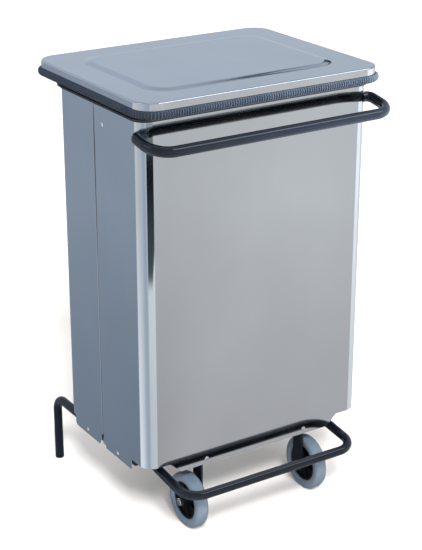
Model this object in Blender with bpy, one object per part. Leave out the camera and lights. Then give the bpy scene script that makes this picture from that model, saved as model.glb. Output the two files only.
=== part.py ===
"""Wheeled pedal waste bin in bright stainless steel: shells, lid, tube frame, pedal linkage and wheels.

Metres, +Z up, floor at z = 0. +X runs along the pedal side of the bin and +Y from the pedal
towards the hinge. Every shape is written in bin coordinates, whose y = 0 is the middle of the
body, and BODY_Y moves them so that the origin is under the middle of the whole object.
"""

from math import cos, pi, radians, sin, tan

import bmesh
import bpy
from mathutils import Matrix, Vector

# Clearances
GAP = 0.0003
HOLE_EASE = 0.0005

# Fasteners
RIVET_RADIUS = 0.002
SCREW_RADIUS = 0.003
SCREW_CLEARANCE = 0.0035
DRILL_SIDES = 8

# Lid
LID_TOP = 0.883
RIM_TOP = 0.880
LID_HALF_X = 0.260
LID_FRONT = -0.184
LID_BACK = 0.2295
LID_CORNER = 0.040
LID_SHEET = 0.001
LID_EDGE_ROUND = 0.004
SKIRT_BOTTOM = 0.857
STEP_OUT = 0.0535
STEP_IN = 0.0735
STEP_CORNER = 0.105
STEP_EASE = 0.0020
STEP_SOFT = 0.0002
BUFFER_X = 0.200
TRIM_TOP = 0.8655
TRIM_BOTTOM = 0.8513
TRIM_BULGE = 0.007
TRIM_LIP = 0.0035
TRIM_GROOVE_TOP = 0.8625

# Body
BODY_HALF_X = 0.2505
BODY_HALF_Y = 0.1555
BODY_CORNER = 0.025
SHEET = 0.001
BODY_TOP = 0.848
FLAP_BOTTOM = 0.138
CORNER_BOTTOM = 0.160
NOTCH_TOP = 0.1495
SEAM_Y = 0.015
LAP = 0.020
FLAP_X = 0.172
RELIEF_X = 0.198
RIVET_Z = 0.149
RIVET_X = 0.115
FRONT_RIVET_Y = -0.044
REAR_RIVET_Y = 0.075
TOP_RIVET_Y = -0.018
TOP_RIVET_Z = 0.8055
FLOOR_UNDER = 0.165
FLOOR_SHEET = 0.0015
FLANGE_BOTTOM = 0.1395
PAN_HALF_X = 0.2476
PAN_HALF_Y = 0.1540
PAN_END_FLANGES = ((-0.094, 0.001), (0.030, 0.118))

# Top frame and sack band
FRAME_TOP = 0.8505
FRAME_BOTTOM = 0.840
FRAME_OUT = 0.004
FRAME_SHEET = 0.0025
FRAME_INNER_BOTTOM = 0.832
TAB_BOTTOM = 0.797
TAB_TOP = 0.836
TAB_HALF = 0.010
BAND_Z = 0.845
BAND_RADIUS = 0.002

# Tubes
HANDLE_RADIUS = 0.010
TUBE_RADIUS = 0.009
TUBE_WALL = 0.0015
TUBE_SIDES = 12
BEND_STEPS = 5

# Handle
HANDLE_Y = -0.2204
HANDLE_Z = 0.802
HANDLE_END_Y = -0.147
HANDLE_END_Z = 0.815
HANDLE_X = 0.257
HANDLE_BEND = 0.040
HANDLE_END_BEND = 0.012

# Base frame
RAIL_X = 0.2306
RAIL_Z = 0.144
RAIL_FRONT = -0.085
FOOT_Y = 0.2509
FOOT_BEND = 0.030
FOOT_CAP = 0.006
FOOT_CAP_RADIUS = 0.0092
FOOT_PLUG_TOP = 0.022
CHANNEL_Y = (-0.065, 0.100)
CHANNEL_HALF_X = 0.238
CHANNEL_WEB = 0.010
CHANNEL_FLANGE = 0.012
CHANNEL_SHEET = 0.003
CHANNEL_SCREW_Y = CHANNEL_WEB + CHANNEL_FLANGE / 2
CHANNEL_SCREW_X = 0.150

# Wheels
WHEEL_Y = -0.132
WHEEL_X = 0.1418
WHEEL_RADIUS = 0.0565
WHEEL_HALF = 0.0135
HUB_RADIUS = 0.038
BOSS_HALF = 0.0185
AXLE_RADIUS = 0.005
STRAP_X = 0.1225
STRAP_WIDTH = 0.030
STRAP_SHEET = 0.004
STRAP_BOTTOM = 0.040
STRAP_SCREW_X = 0.080

# Pedal linkage
PIVOT = Vector((0.0, 0.020, 0.144))
PIVOT_TUBE_RADIUS = 0.011
PIVOT_TUBE_HALF = 0.2125
PIVOT_TUBE_WALL = 0.002
PIVOT_BOLT_RADIUS = 0.004
BUSH_LENGTH = 0.020
BUSH_FLANGE = 0.0125
PEDAL_X = 0.1975
PEDAL_Y = -0.2207
PEDAL_Z = 0.1154
PEDAL_BEND = 0.038
ROD_PIN = Vector((0.0, 0.1844, 0.0708))
LEVER_HALF = 0.010
LEVER_SHEET = 0.005
LEVER_EYE = 0.0165

# Hinge and push rod
HINGE = Vector((0.0, 0.215, 0.845))
HINGE_X = 0.150
HINGE_SHEET = 0.003
HINGE_EYE = 0.0065
HINGE_HEAD = 0.0052
BRACKET_BOTTOM = 0.790
BRACKET_TOP = 0.838
BRACKET_FLANGE = 0.020
LEAF_FRONT = 0.016
LEAF_BACK = 0.0095
LID_LEVER_FRONT = 0.036
LID_LEVER_BACK = 0.004
LID_PIN = Vector((0.0, 0.1867, 0.8212))
ROD_HALF = 0.0015
ROD_WIDTH = 0.016
PIN_RADIUS = 0.003
PIN_HEAD = 0.005
PLAY = 0.0006
SLOT_FRONT = 0.0125
SLOT_BACK = 0.0015
SLOT_EASE = 0.0011
SLOT_RISE = 0.0004

# The handle and the foot caps are the outermost pieces along Y.
BODY_Y = -((FOOT_Y + FOOT_CAP_RADIUS) + (HANDLE_Y - HANDLE_RADIUS)) / 2

MATERIALS = {
    "bright_steel": ((0.62, 0.64, 0.66), 1.0, 0.12),
    "satin_steel": ((0.55, 0.58, 0.61), 1.0, 0.35),
    "black_paint": ((0.012, 0.014, 0.018), 0.0, 0.3),
    "slate_rubber": ((0.035, 0.045, 0.06), 0.0, 0.6),
    "grey_rubber": ((0.13, 0.17, 0.21), 0.0, 0.7),
    "black_plastic": ((0.01, 0.01, 0.012), 0.0, 0.5),
    "zinc_steel": ((0.6, 0.6, 0.58), 1.0, 0.3),
}


# ---------------------------------------------------------------- scene and materials


def clear_scene():
    for obj in list(bpy.data.objects):
        bpy.data.objects.remove(obj, do_unlink=True)


def make_material(name, part):
    """A material of one part: the finish it shares with others of its kind, under its own name."""
    colour, metallic, roughness = MATERIALS[name]
    material = bpy.data.materials.new(part + "_" + name)
    material.use_nodes = True
    shader = material.node_tree.nodes["Principled BSDF"]
    shader.inputs["Base Color"].default_value = (*colour, 1.0)
    shader.inputs["Metallic"].default_value = metallic
    shader.inputs["Roughness"].default_value = roughness
    material.diffuse_color = (*colour, 1.0)
    return material


def make_pivot(name, location, parent=None):
    pivot = bpy.data.objects.new(name, None)
    pivot.empty_display_size = 0.03
    pivot.location = location
    pivot.parent = parent
    bpy.context.scene.collection.objects.link(pivot)
    return pivot


def place(name, bm, finish, pivot, sharp=40.0):
    """Makes an object of a mesh written in bin coordinates, with its origin on its pivot."""
    bmesh.ops.translate(bm, verts=bm.verts, vec=-PIVOTS[pivot])
    bmesh.ops.recalc_face_normals(bm, faces=bm.faces)
    mesh = bpy.data.meshes.new(name)
    bm.to_mesh(mesh)
    bm.free()
    mesh.shade_smooth()
    mesh.set_sharp_from_angle(angle=radians(sharp))
    obj = bpy.data.objects.new(name, mesh)
    mesh.materials.append(make_material(finish, name))
    obj.parent = bpy.data.objects[pivot]
    bpy.context.scene.collection.objects.link(obj)
    return obj


def cut(obj, bm, operation="DIFFERENCE"):
    """Cuts a closed mesh, written in bin coordinates, out of an object, or joins it on."""
    bmesh.ops.translate(bm, verts=bm.verts, vec=-PIVOTS[obj.parent.name])
    bmesh.ops.recalc_face_normals(bm, faces=bm.faces)
    tool_name = obj.name + "_tool" + str(len(obj.modifiers))
    mesh = bpy.data.meshes.new(tool_name)
    bm.to_mesh(mesh)
    bm.free()
    tool = bpy.data.objects.new(tool_name, mesh)
    tool.parent = obj.parent
    tool.hide_render = True
    tool.display_type = "WIRE"
    bpy.context.scene.collection.objects.link(tool)
    modifier = obj.modifiers.new(operation.lower(), "BOOLEAN")
    modifier.operation = operation
    modifier.solver = "EXACT"
    modifier.object = tool


# ---------------------------------------------------------------- outlines and paths


def arc(centre, radius, start, end, steps):
    """Points of a flat arc, in degrees, both ends included."""
    angles = [radians(start + (end - start) * i / steps) for i in range(steps + 1)]
    return [(centre[0] + radius * cos(a), centre[1] + radius * sin(a)) for a in angles]


def rounded_rect(half_x, low_y, high_y, radius, steps=6):
    """A rectangle with rounded corners, anticlockwise from the middle of its right end."""
    x, low, high = half_x - radius, low_y + radius, high_y - radius
    return (
        arc((x, high), radius, 0, 90, steps)
        + arc((-x, high), radius, 90, 180, steps)
        + arc((-x, low), radius, 180, 270, steps)
        + arc((x, low), radius, 270, 360, steps)
    )


def lid_outline(offset, z):
    """The lid's outline moved out by offset, at height z. The raised middle has wider corners."""
    corner = STEP_CORNER if offset < -LID_CORNER else LID_CORNER
    outline = rounded_rect(LID_HALF_X + offset, LID_FRONT - offset, LID_BACK + offset, corner + offset)
    return [(x, y, z) for x, y in outline]


def body_outline(offset, z):
    """The body's outline moved out by offset, at height z."""
    half_y = BODY_HALF_Y + offset
    outline = rounded_rect(BODY_HALF_X + offset, -half_y, half_y, BODY_CORNER + offset)
    return [(x, y, z) for x, y in outline]


def bent_path(points, bends, steps=BEND_STEPS):
    """A polyline with each inner corner turned into an arc of its own bend radius."""
    points = [Vector(p) for p in points]
    path = [points[0]]
    for before, corner, after, bend in zip(points, points[1:], points[2:], bends):
        back = (before - corner).normalized()
        ahead = (after - corner).normalized()
        half = back.angle(ahead) / 2
        centre = corner + (back + ahead).normalized() * (bend / sin(half))
        start = corner + back * (bend / tan(half)) - centre
        end = corner + ahead * (bend / tan(half)) - centre
        axis = start.cross(end).normalized()
        turn = pi - 2 * half
        path += [
            centre + Matrix.Rotation(turn * i / steps, 3, axis) @ start
            for i in range(steps + 1)
        ]
    return path + [points[-1]]


# ---------------------------------------------------------------- solids


def loft(rings, closed=False):
    """Skins rings of equal length. A closed loft joins its last ring to its first."""
    bm = bmesh.new()
    rows = [[bm.verts.new(p) for p in ring] for ring in rings]
    pairs = list(zip(rows, rows[1:]))
    if closed:
        pairs.append((rows[-1], rows[0]))
    else:
        bm.faces.new(rows[0][::-1])
        bm.faces.new(rows[-1])
    count = len(rings[0])
    for low, high in pairs:
        for i in range(count):
            j = (i + 1) % count
            bm.faces.new((low[i], low[j], high[j], high[i]))
    return bm


def tube_rings(path, radius, sides):
    """Rings of a round tube along a path, turned as little as possible from one to the next."""
    rings = []
    tangent = (path[1] - path[0]).normalized()
    side = tangent.orthogonal().normalized()
    for i, point in enumerate(path):
        ahead = (path[min(i + 1, len(path) - 1)] - path[max(i - 1, 0)]).normalized()
        side = (tangent.rotation_difference(ahead) @ side).normalized()
        side = (side - ahead * side.dot(ahead)).normalized()
        tangent = ahead
        up = tangent.cross(side)
        rings.append(
            [
                point + (side * cos(a) + up * sin(a)) * radius
                for a in (2 * pi * k / sides for k in range(sides))
            ]
        )
    return rings


def tube(path, radius, wall, sides=TUBE_SIDES):
    """A tube that is open at both ends."""
    outer = tube_rings(path, radius, sides)
    inner = tube_rings(path, radius - wall, sides)
    return loft(outer + inner[::-1], closed=True)


def turned(profile, axis, centre, segments=12, closed=False, phase=0.0):
    """Turns (radius, place along the axis) points. A radius given as "h0.005" is a hexagon."""
    rings = []
    for radius, along in profile:
        ring = []
        for k in range(segments):
            angle = 2 * pi * (k + phase) / segments
            reach = radius
            if isinstance(radius, str):
                reach = float(radius[1:]) / cos((angle + pi / 6) % (pi / 3) - pi / 6)
            u, v = reach * cos(angle), reach * sin(angle)
            local = {"x": (along, u, v), "y": (v, along, u), "z": (u, v, along)}[axis]
            ring.append(Vector(centre) + Vector(local))
        rings.append(ring)
    return loft(rings, closed)


def pin(radius, start, end, axis, centre, segments=12):
    """A plain cylinder, turned by half a side so that its edges miss those of other shapes."""
    return turned([(radius, start), (radius, end)], axis, centre, segments, phase=0.43)


def box(low, high):
    bm = bmesh.new()
    bmesh.ops.create_cube(bm, size=1.0)
    low, high = Vector(low), Vector(high)
    bmesh.ops.scale(bm, verts=bm.verts, vec=high - low)
    bmesh.ops.translate(bm, verts=bm.verts, vec=(low + high) / 2)
    return bm


def plate(outline, holes, low, high, axis):
    """A flat plate with holes: its outline in the plane across axis, its faces at low and high."""

    def spot(u, v, t):
        return {"x": (t, u, v), "y": (u, t, v), "z": (u, v, t)}[axis]

    bm = bmesh.new()
    for loop in [outline] + holes:
        verts = [bm.verts.new(spot(u, v, low)) for u, v in loop]
        for first, second in zip(verts, verts[1:] + verts[:1]):
            bm.edges.new((first, second))
    bmesh.ops.triangle_fill(bm, use_beauty=True, edges=bm.edges)
    grown = bmesh.ops.extrude_face_region(bm, geom=bm.faces)["geom"]
    moved = [item for item in grown if isinstance(item, bmesh.types.BMVert)]
    bmesh.ops.translate(bm, verts=moved, vec=Vector(spot(0, 0, high - low)))
    return bm


def circle(centre, radius, steps=12):
    return arc(centre, radius, 0, 360 - 360 / steps, steps - 1)


def merge(meshes):
    """Puts closed meshes that don't touch into one, for a tool that cuts several holes."""
    whole = bmesh.new()
    for bm in meshes:
        spare = bpy.data.meshes.new("spare")
        bm.to_mesh(spare)
        bm.free()
        whole.from_mesh(spare)
        bpy.data.meshes.remove(spare)
    return whole


def both_sides():
    return (("left", -1), ("right", 1))


# ---------------------------------------------------------------- body


def shell_columns(half_x, wall, face, side):
    """Columns of a folded sheet: an end wall, a rounded corner, the long face and back again.

    wall lists (y, lower edge) from the seam to the corner, and face lists (x, lower edge) from
    the corner to the middle. side is -1 for the pedal side and +1 for the hinge side.
    """
    corner = (half_x - BODY_CORNER, side * (BODY_HALF_Y - BODY_CORNER))
    half = [((-half_x, y), (-1, 0), z) for y, z in wall]
    steps = 6
    for i in range(steps + 1):
        a = radians(90 * i / steps)
        normal = (-cos(a), side * sin(a))
        point = (-corner[0] + BODY_CORNER * normal[0], corner[1] + BODY_CORNER * normal[1])
        half.append((point, normal, CORNER_BOTTOM))
    half += [((x, side * BODY_HALF_Y), (0, side), z) for x, z in face]
    mirrored = [((-p[0], p[1]), (-n[0], n[1]), z) for p, n, z in reversed(half)]
    rings = []
    for (x, y), (nx, ny), z in half + mirrored:
        inner = (x - nx * SHEET, y - ny * SHEET)
        rings.append([(x, y, z), (x, y, BODY_TOP), (*inner, BODY_TOP), (*inner, z)])
    return rings


def face_edge():
    """Lower edge of a long face from the corner relief to the flap."""
    return [(-RELIEF_X, CORNER_BOTTOM), (-FLAP_X, FLAP_BOTTOM), (-0.06, FLAP_BOTTOM)]


def seam_slots():
    low, high = NOTCH_TOP + 0.0012, CORNER_BOTTOM + 0.0045
    return [
        box((side * 0.256 - 0.012, SEAM_Y - 0.002, low), (side * 0.256 + 0.012, SEAM_Y + 0.002, high))
        for _, side in both_sides()
    ]


def rivet_hole(axis, point):
    return pin(RIVET_RADIUS + HOLE_EASE, -0.01, 0.01, axis, point, DRILL_SIDES)


def rivet_holes(side, y):
    """Holes for the lower rivets of one shell: two in its long face and one in each end wall."""
    across = [rivet_hole("y", (s * RIVET_X, side * BODY_HALF_Y, RIVET_Z)) for _, s in both_sides()]
    return across + [rivet_hole("x", (s * BODY_HALF_X, y, RIVET_Z)) for _, s in both_sides()]


def top_rivet_holes():
    return [rivet_hole("x", (s * BODY_HALF_X, TOP_RIVET_Y, TOP_RIVET_Z)) for _, s in both_sides()]


def front_shell():
    inner_x = BODY_HALF_X - SHEET - GAP
    wall = [
        (SEAM_Y + LAP, NOTCH_TOP),
        (0.006, NOTCH_TOP),
        (0.0045, FLAP_BOTTOM + 0.003),
        (0.002, FLAP_BOTTOM),
        (-0.0965, FLAP_BOTTOM),
        (-0.0975, CORNER_BOTTOM),
    ]
    shell = place("front_shell", loft(shell_columns(inner_x, wall, face_edge(), -1)), "bright_steel", "bin")
    holes = rivet_holes(-1, FRONT_RIVET_Y) + top_rivet_holes() + seam_slots()
    for _, s in both_sides():
        spot = (s * BODY_HALF_X, HANDLE_END_Y, HANDLE_END_Z)
        holes.append(pin(SCREW_CLEARANCE, -0.02, 0.02, "x", spot, DRILL_SIDES))
    cut(shell, merge(holes))


def rear_shell():
    wall = [
        (SEAM_Y, NOTCH_TOP),
        (0.0235, NOTCH_TOP),
        (0.0255, FLAP_BOTTOM + 0.004),
        (0.0285, FLAP_BOTTOM),
        (0.119, FLAP_BOTTOM),
        (0.1255, FLAP_BOTTOM + 0.003),
        (0.1275, FLAP_BOTTOM + 0.009),
        (0.1285, CORNER_BOTTOM),
    ]
    shell = place("rear_shell", loft(shell_columns(BODY_HALF_X, wall, face_edge(), 1)), "bright_steel", "bin")
    cut(shell, merge(rivet_holes(1, REAR_RIVET_Y) + seam_slots()))


def base_pan():
    """The bin's floor, a tray turned upside down whose flanges hang inside the shells."""
    half_x, half_y = PAN_HALF_X, PAN_HALF_Y
    outline = rounded_rect(half_x, -half_y, half_y, BODY_CORNER - (BODY_HALF_Y - PAN_HALF_Y))
    screws = [(s * CHANNEL_SCREW_X, y + CHANNEL_SCREW_Y) for _, s in both_sides() for y in CHANNEL_Y]
    screws += [(s * STRAP_SCREW_X, WHEEL_Y) for _, s in both_sides()]
    holes = [circle(p, SCREW_RADIUS + HOLE_EASE, 8) for p in screws]
    floor = plate(outline, holes, FLOOR_UNDER, FLOOR_UNDER + FLOOR_SHEET, "z")
    pan = place("base_pan", floor, "satin_steel", "bin")
    sheet, top = FLOOR_SHEET, FLOOR_UNDER + FLOOR_SHEET / 2
    flanges = []
    for side in (-1, 1):
        low, high = sorted((side * half_y, side * (half_y - sheet)))
        slope = [(-FLAP_X - 0.004, top), (-FLAP_X + 0.002, FLANGE_BOTTOM + 0.002)]
        slope += [(FLAP_X - 0.002, FLANGE_BOTTOM + 0.002), (FLAP_X + 0.004, top)]
        flanges.append(plate(slope, [], low, high, "y"))
        low, high = sorted((side * half_x, side * (half_x - sheet)))
        for y0, y1 in PAN_END_FLANGES:
            flanges.append(box((low, y0, FLANGE_BOTTOM), (high, y1, top)))
    cut(pan, merge(flanges), "UNION")
    for side, y in ((-1, FRONT_RIVET_Y), (1, REAR_RIVET_Y)):
        cut(pan, merge(rivet_holes(side, y)))


def top_frame():
    """Channel over the shells' upper edge, with a tab inside each end wall for its rivet."""
    inner = -SHEET - GAP - SHEET - GAP
    profile = [
        (GAP, FRAME_BOTTOM),
        (FRAME_OUT, FRAME_BOTTOM),
        (FRAME_OUT, FRAME_TOP - 0.001),
        (FRAME_OUT - 0.001, FRAME_TOP),
        (inner - FRAME_SHEET, FRAME_TOP),
        (inner - FRAME_SHEET, FRAME_INNER_BOTTOM),
        (inner, FRAME_INNER_BOTTOM),
        (inner, BODY_TOP + GAP),
        (GAP, BODY_TOP + GAP),
    ]
    rings = [body_outline(offset, z) for offset, z in profile]
    frame = place("top_frame", loft(rings, closed=True), "black_paint", "bin")
    tabs = []
    for _, s in both_sides():
        low, high = sorted((s * (BODY_HALF_X + inner - 0.0024), s * (BODY_HALF_X + inner - 0.0002)))
        near = (low, TOP_RIVET_Y - TAB_HALF, TAB_BOTTOM)
        tabs.append(box(near, (high, TOP_RIVET_Y + TAB_HALF, TAB_TOP)))
    cut(frame, merge(tabs), "UNION")
    cut(frame, merge(top_rivet_holes()))


def sack_band():
    """Elastic cord round the top frame that holds the sack's edge."""
    centre = FRAME_OUT + GAP + BAND_RADIUS
    section = arc((centre, BAND_Z), BAND_RADIUS, 0, 315, 7)
    place("sack_band", loft([body_outline(d, z) for d, z in section], closed=True), "black_plastic", "bin")


def rivet(name, point, outward, grip):
    """A domed rivet through a wall: outward is +1 or -1 along its axis, grip the layers' depth."""
    axis = "x" if abs(outward[0]) > 0 else "y"
    s = outward[0] + outward[1]
    profile = [
        (0.0016, GAP + 0.0017),
        (0.0034, GAP + 0.0011),
        (0.0043, GAP),
        (RIVET_RADIUS, GAP),
        (RIVET_RADIUS, -grip - GAP),
        (0.0032, -grip - GAP),
        (0.0028, -grip - 0.0016),
    ]
    place(name, turned([(r, s * a) for r, a in profile], axis, point, 8), "zinc_steel", "bin")


def rivets():
    for name, s in both_sides():
        rivet("front_rivet_" + name, (s * RIVET_X, -BODY_HALF_Y, RIVET_Z), (0, -1), 0.0030)
        rivet("rear_rivet_" + name, (s * RIVET_X, BODY_HALF_Y, RIVET_Z), (0, 1), 0.0030)
        inset = BODY_HALF_X - SHEET - GAP
        rivet(name + "_rivet_front", (s * inset, FRONT_RIVET_Y, RIVET_Z), (s, 0), 0.0031)
        rivet(name + "_rivet_rear", (s * BODY_HALF_X, REAR_RIVET_Y, RIVET_Z), (s, 0), 0.0044)
        rivet(name + "_rivet_top", (s * inset, TOP_RIVET_Y, TOP_RIVET_Z), (s, 0), 0.0038)


# ---------------------------------------------------------------- handle


def handle():
    """Push handle: a bent tube whose plugged ends are scribed to the body's front corners."""
    end_x = BODY_HALF_X - BODY_CORNER + 0.012
    points = [(-end_x, HANDLE_END_Y, HANDLE_END_Z), (-HANDLE_X, HANDLE_END_Y, HANDLE_END_Z)]
    points += [(-HANDLE_X, HANDLE_Y, HANDLE_Z), (HANDLE_X, HANDLE_Y, HANDLE_Z)]
    points += [(HANDLE_X, HANDLE_END_Y, HANDLE_END_Z), (end_x, HANDLE_END_Y, HANDLE_END_Z)]
    path = bent_path(points, [HANDLE_END_BEND, HANDLE_BEND, HANDLE_BEND, HANDLE_END_BEND])
    bar = place("push_handle", loft(tube_rings(path, HANDLE_RADIUS, TUBE_SIDES)), "black_paint", "bin")
    cut(bar, loft(tube_rings(path[4:-4], HANDLE_RADIUS - TUBE_WALL, TUBE_SIDES)))
    tools = []
    for _, s in both_sides():
        corner = (s * (BODY_HALF_X - BODY_CORNER), -(BODY_HALF_Y - BODY_CORNER), 0)
        tools.append(pin(BODY_CORNER + 3 * GAP, 0.78, 0.85, "z", corner, 48))
    cut(bar, merge(tools))
    drills = [
        pin(SCREW_CLEARANCE, -0.015, 0.012, "x", (s * 0.2455, HANDLE_END_Y, HANDLE_END_Z), DRILL_SIDES)
        for _, s in both_sides()
    ]
    cut(bar, merge(drills))


def handle_screws():
    for name, s in both_sides():
        profile = [("h0.005", 0.2285), ("h0.005", 0.2325), (SCREW_RADIUS, 0.2325), (SCREW_RADIUS, 0.252)]
        profile = [(r, s * a) for r, a in profile]
        centre = (0, HANDLE_END_Y, HANDLE_END_Z)
        place("handle_screw_" + name, turned(profile, "x", centre), "zinc_steel", "bin")


# ---------------------------------------------------------------- base frame and wheels


def base_legs():
    for name, s in both_sides():
        x = s * RAIL_X
        points = [(x, FOOT_Y, FOOT_CAP + GAP), (x, FOOT_Y, RAIL_Z), (x, RAIL_FRONT, RAIL_Z)]
        path = bent_path(points, [FOOT_BEND], 7)
        leg = place("base_leg_" + name, loft(tube_rings(path, TUBE_RADIUS, TUBE_SIDES)), "black_paint", "bin")
        inner = [path[0] - Vector((0, 0, 0.01))] + path[1:-1] + [path[-1] + Vector((0, TUBE_WALL, 0))]
        cut(leg, loft(tube_rings(inner, TUBE_RADIUS - TUBE_WALL, TUBE_SIDES)))
        cut(leg, pin(PIVOT_BOLT_RADIUS + GAP, -0.02, 0.02, "x", (x, PIVOT.y, PIVOT.z), 10))
        plug = TUBE_RADIUS - TUBE_WALL - 2 * GAP
        foot = [(FOOT_CAP_RADIUS - 0.001, 0), (FOOT_CAP_RADIUS, 0.001), (FOOT_CAP_RADIUS, FOOT_CAP)]
        foot += [(plug, FOOT_CAP), (plug, FOOT_PLUG_TOP)]
        place("foot_cap_" + name, turned(foot, "z", (x, FOOT_Y, 0)), "black_plastic", "bin")


def cross_channels():
    """Hat sections that lie on the rails and carry the bin's floor."""
    low, top = RAIL_Z + TUBE_RADIUS + GAP, FLOOR_UNDER - GAP
    web, reach, sheet = CHANNEL_WEB, CHANNEL_WEB + CHANNEL_FLANGE, CHANNEL_SHEET
    for name, y in zip(("front", "rear"), CHANNEL_Y):
        half = [(web, low), (web, top - sheet), (reach, top - sheet), (reach, top)]
        half += [(web - sheet, top), (web - sheet, low + sheet)]
        outline = [(y + u, z) for u, z in half] + [(y - u, z) for u, z in reversed(half)]
        bar = plate(outline, [], -CHANNEL_HALF_X, CHANNEL_HALF_X, "x")
        channel = place("cross_channel_" + name, bar, "black_paint", "bin")
        spots = [(s * CHANNEL_SCREW_X, y + CHANNEL_SCREW_Y, top) for _, s in both_sides()]
        cut(channel, merge([pin(SCREW_CLEARANCE, -0.006, 0.003, "z", p, DRILL_SIDES) for p in spots]))
        for side, spot in zip(("left", "right"), spots):
            floor_screw("channel_screw_" + name + "_" + side, spot[0], spot[1], 0.0048)


def floor_screw(name, x, y, below):
    """A screw from inside the bin down through its floor and the piece under it."""
    floor_top = FLOOR_UNDER + FLOOR_SHEET
    profile = [
        (0.0035, floor_top + 0.0030),
        (0.0058, floor_top + 0.0018),
        (0.0058, floor_top + GAP),
        (SCREW_RADIUS, floor_top + GAP),
        (SCREW_RADIUS, FLOOR_UNDER - below),
    ]
    place(name, turned(profile, "z", (x, y, 0), 10), "zinc_steel", "bin")


def wheel_strap():
    """One flat bar bent down at both ends, where it holds the wheels from their inner sides."""
    top, sheet, half = FLOOR_UNDER - GAP, STRAP_SHEET, STRAP_WIDTH / 2
    outline = [(-STRAP_X, STRAP_BOTTOM), (-STRAP_X + sheet, STRAP_BOTTOM), (-STRAP_X + sheet, top - sheet)]
    outline += [(-x, z) for x, z in reversed(outline)]
    outline += [(STRAP_X, top), (-STRAP_X, top)]
    bar = plate(outline, [], WHEEL_Y - half, WHEEL_Y + half, "y")
    strap = place("wheel_strap", bar, "black_paint", "bin")
    ends = []
    for _, s in both_sides():
        low, high = sorted((s * (STRAP_X + 0.003), s * (STRAP_X - sheet - 0.003)))
        rim, below = half + 0.002, STRAP_BOTTOM - 0.010
        outer = [(WHEEL_Y + rim, WHEEL_RADIUS), (WHEEL_Y + rim, below)]
        outer += [(WHEEL_Y - rim, below), (WHEEL_Y - rim, WHEEL_RADIUS)]
        outer += arc((WHEEL_Y, WHEEL_RADIUS), half, 180, 360, 10)
        ends.append(plate(outer, [], low, high, "x"))
        ends.append(pin(AXLE_RADIUS + HOLE_EASE, low, high, "x", (0, WHEEL_Y, WHEEL_RADIUS), 12))
        spot = (s * STRAP_SCREW_X, WHEEL_Y, top)
        ends.append(pin(SCREW_CLEARANCE, -0.01, 0.01, "z", spot, DRILL_SIDES))
    cut(strap, merge(ends))
    for name, s in both_sides():
        floor_screw("strap_screw_" + name, s * STRAP_SCREW_X, WHEEL_Y, 0.0065)


def wheels():
    half, shoulder = WHEEL_HALF, 0.006
    for name, s in both_sides():
        centre = (s * WHEEL_X, WHEEL_Y, WHEEL_RADIUS)
        tread = arc((half - shoulder, WHEEL_RADIUS - shoulder), shoulder, 0, 90, 3)
        section = [(r, a) for a, r in tread] + [(r, -a) for a, r in reversed(tread)]
        section += [(HUB_RADIUS + 0.004, -half + 0.002), (HUB_RADIUS + GAP, -half + 0.003)]
        section += [(HUB_RADIUS + GAP, half - 0.003), (HUB_RADIUS + 0.004, half - 0.002)]
        tyre = turned(section, "x", centre, 36, closed=True)
        place("tyre_" + name, tyre, "grey_rubber", "wheel_" + name)
        bore = AXLE_RADIUS + HOLE_EASE
        rim = [(bore, -BOSS_HALF), (0.011, -BOSS_HALF), (0.012, -0.006), (0.030, -0.005)]
        rim += [(0.032, -half + 0.004), (HUB_RADIUS, -half + 0.004)]
        rim += [(r, -a) for r, a in reversed(rim)]
        hub = turned(rim, "x", centre, 24, closed=True)
        place("hub_" + name, hub, "black_plastic", "wheel_" + name)
        axle_bolt(name, s)


def axle_bolt(name, s):
    outer = WHEEL_X + BOSS_HALF + GAP
    inner = STRAP_X - STRAP_SHEET - GAP
    centre = (0, WHEEL_Y, WHEEL_RADIUS)
    bolt = [("h0.0075", outer + 0.005), ("h0.0075", outer)]
    bolt += [(AXLE_RADIUS, outer), (AXLE_RADIUS, inner - 0.011)]
    place("axle_bolt_" + name, turned([(r, s * a) for r, a in bolt], "x", centre), "zinc_steel", "bin")
    nut = [("h0.0075", inner), ("h0.0075", inner - 0.008)]
    nut += [(AXLE_RADIUS + GAP, inner - 0.008), (AXLE_RADIUS + GAP, inner)]
    mesh = turned([(r, s * a) for r, a in nut], "x", centre, closed=True)
    place("axle_nut_" + name, mesh, "zinc_steel", "bin")


# ---------------------------------------------------------------- pedal


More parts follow.
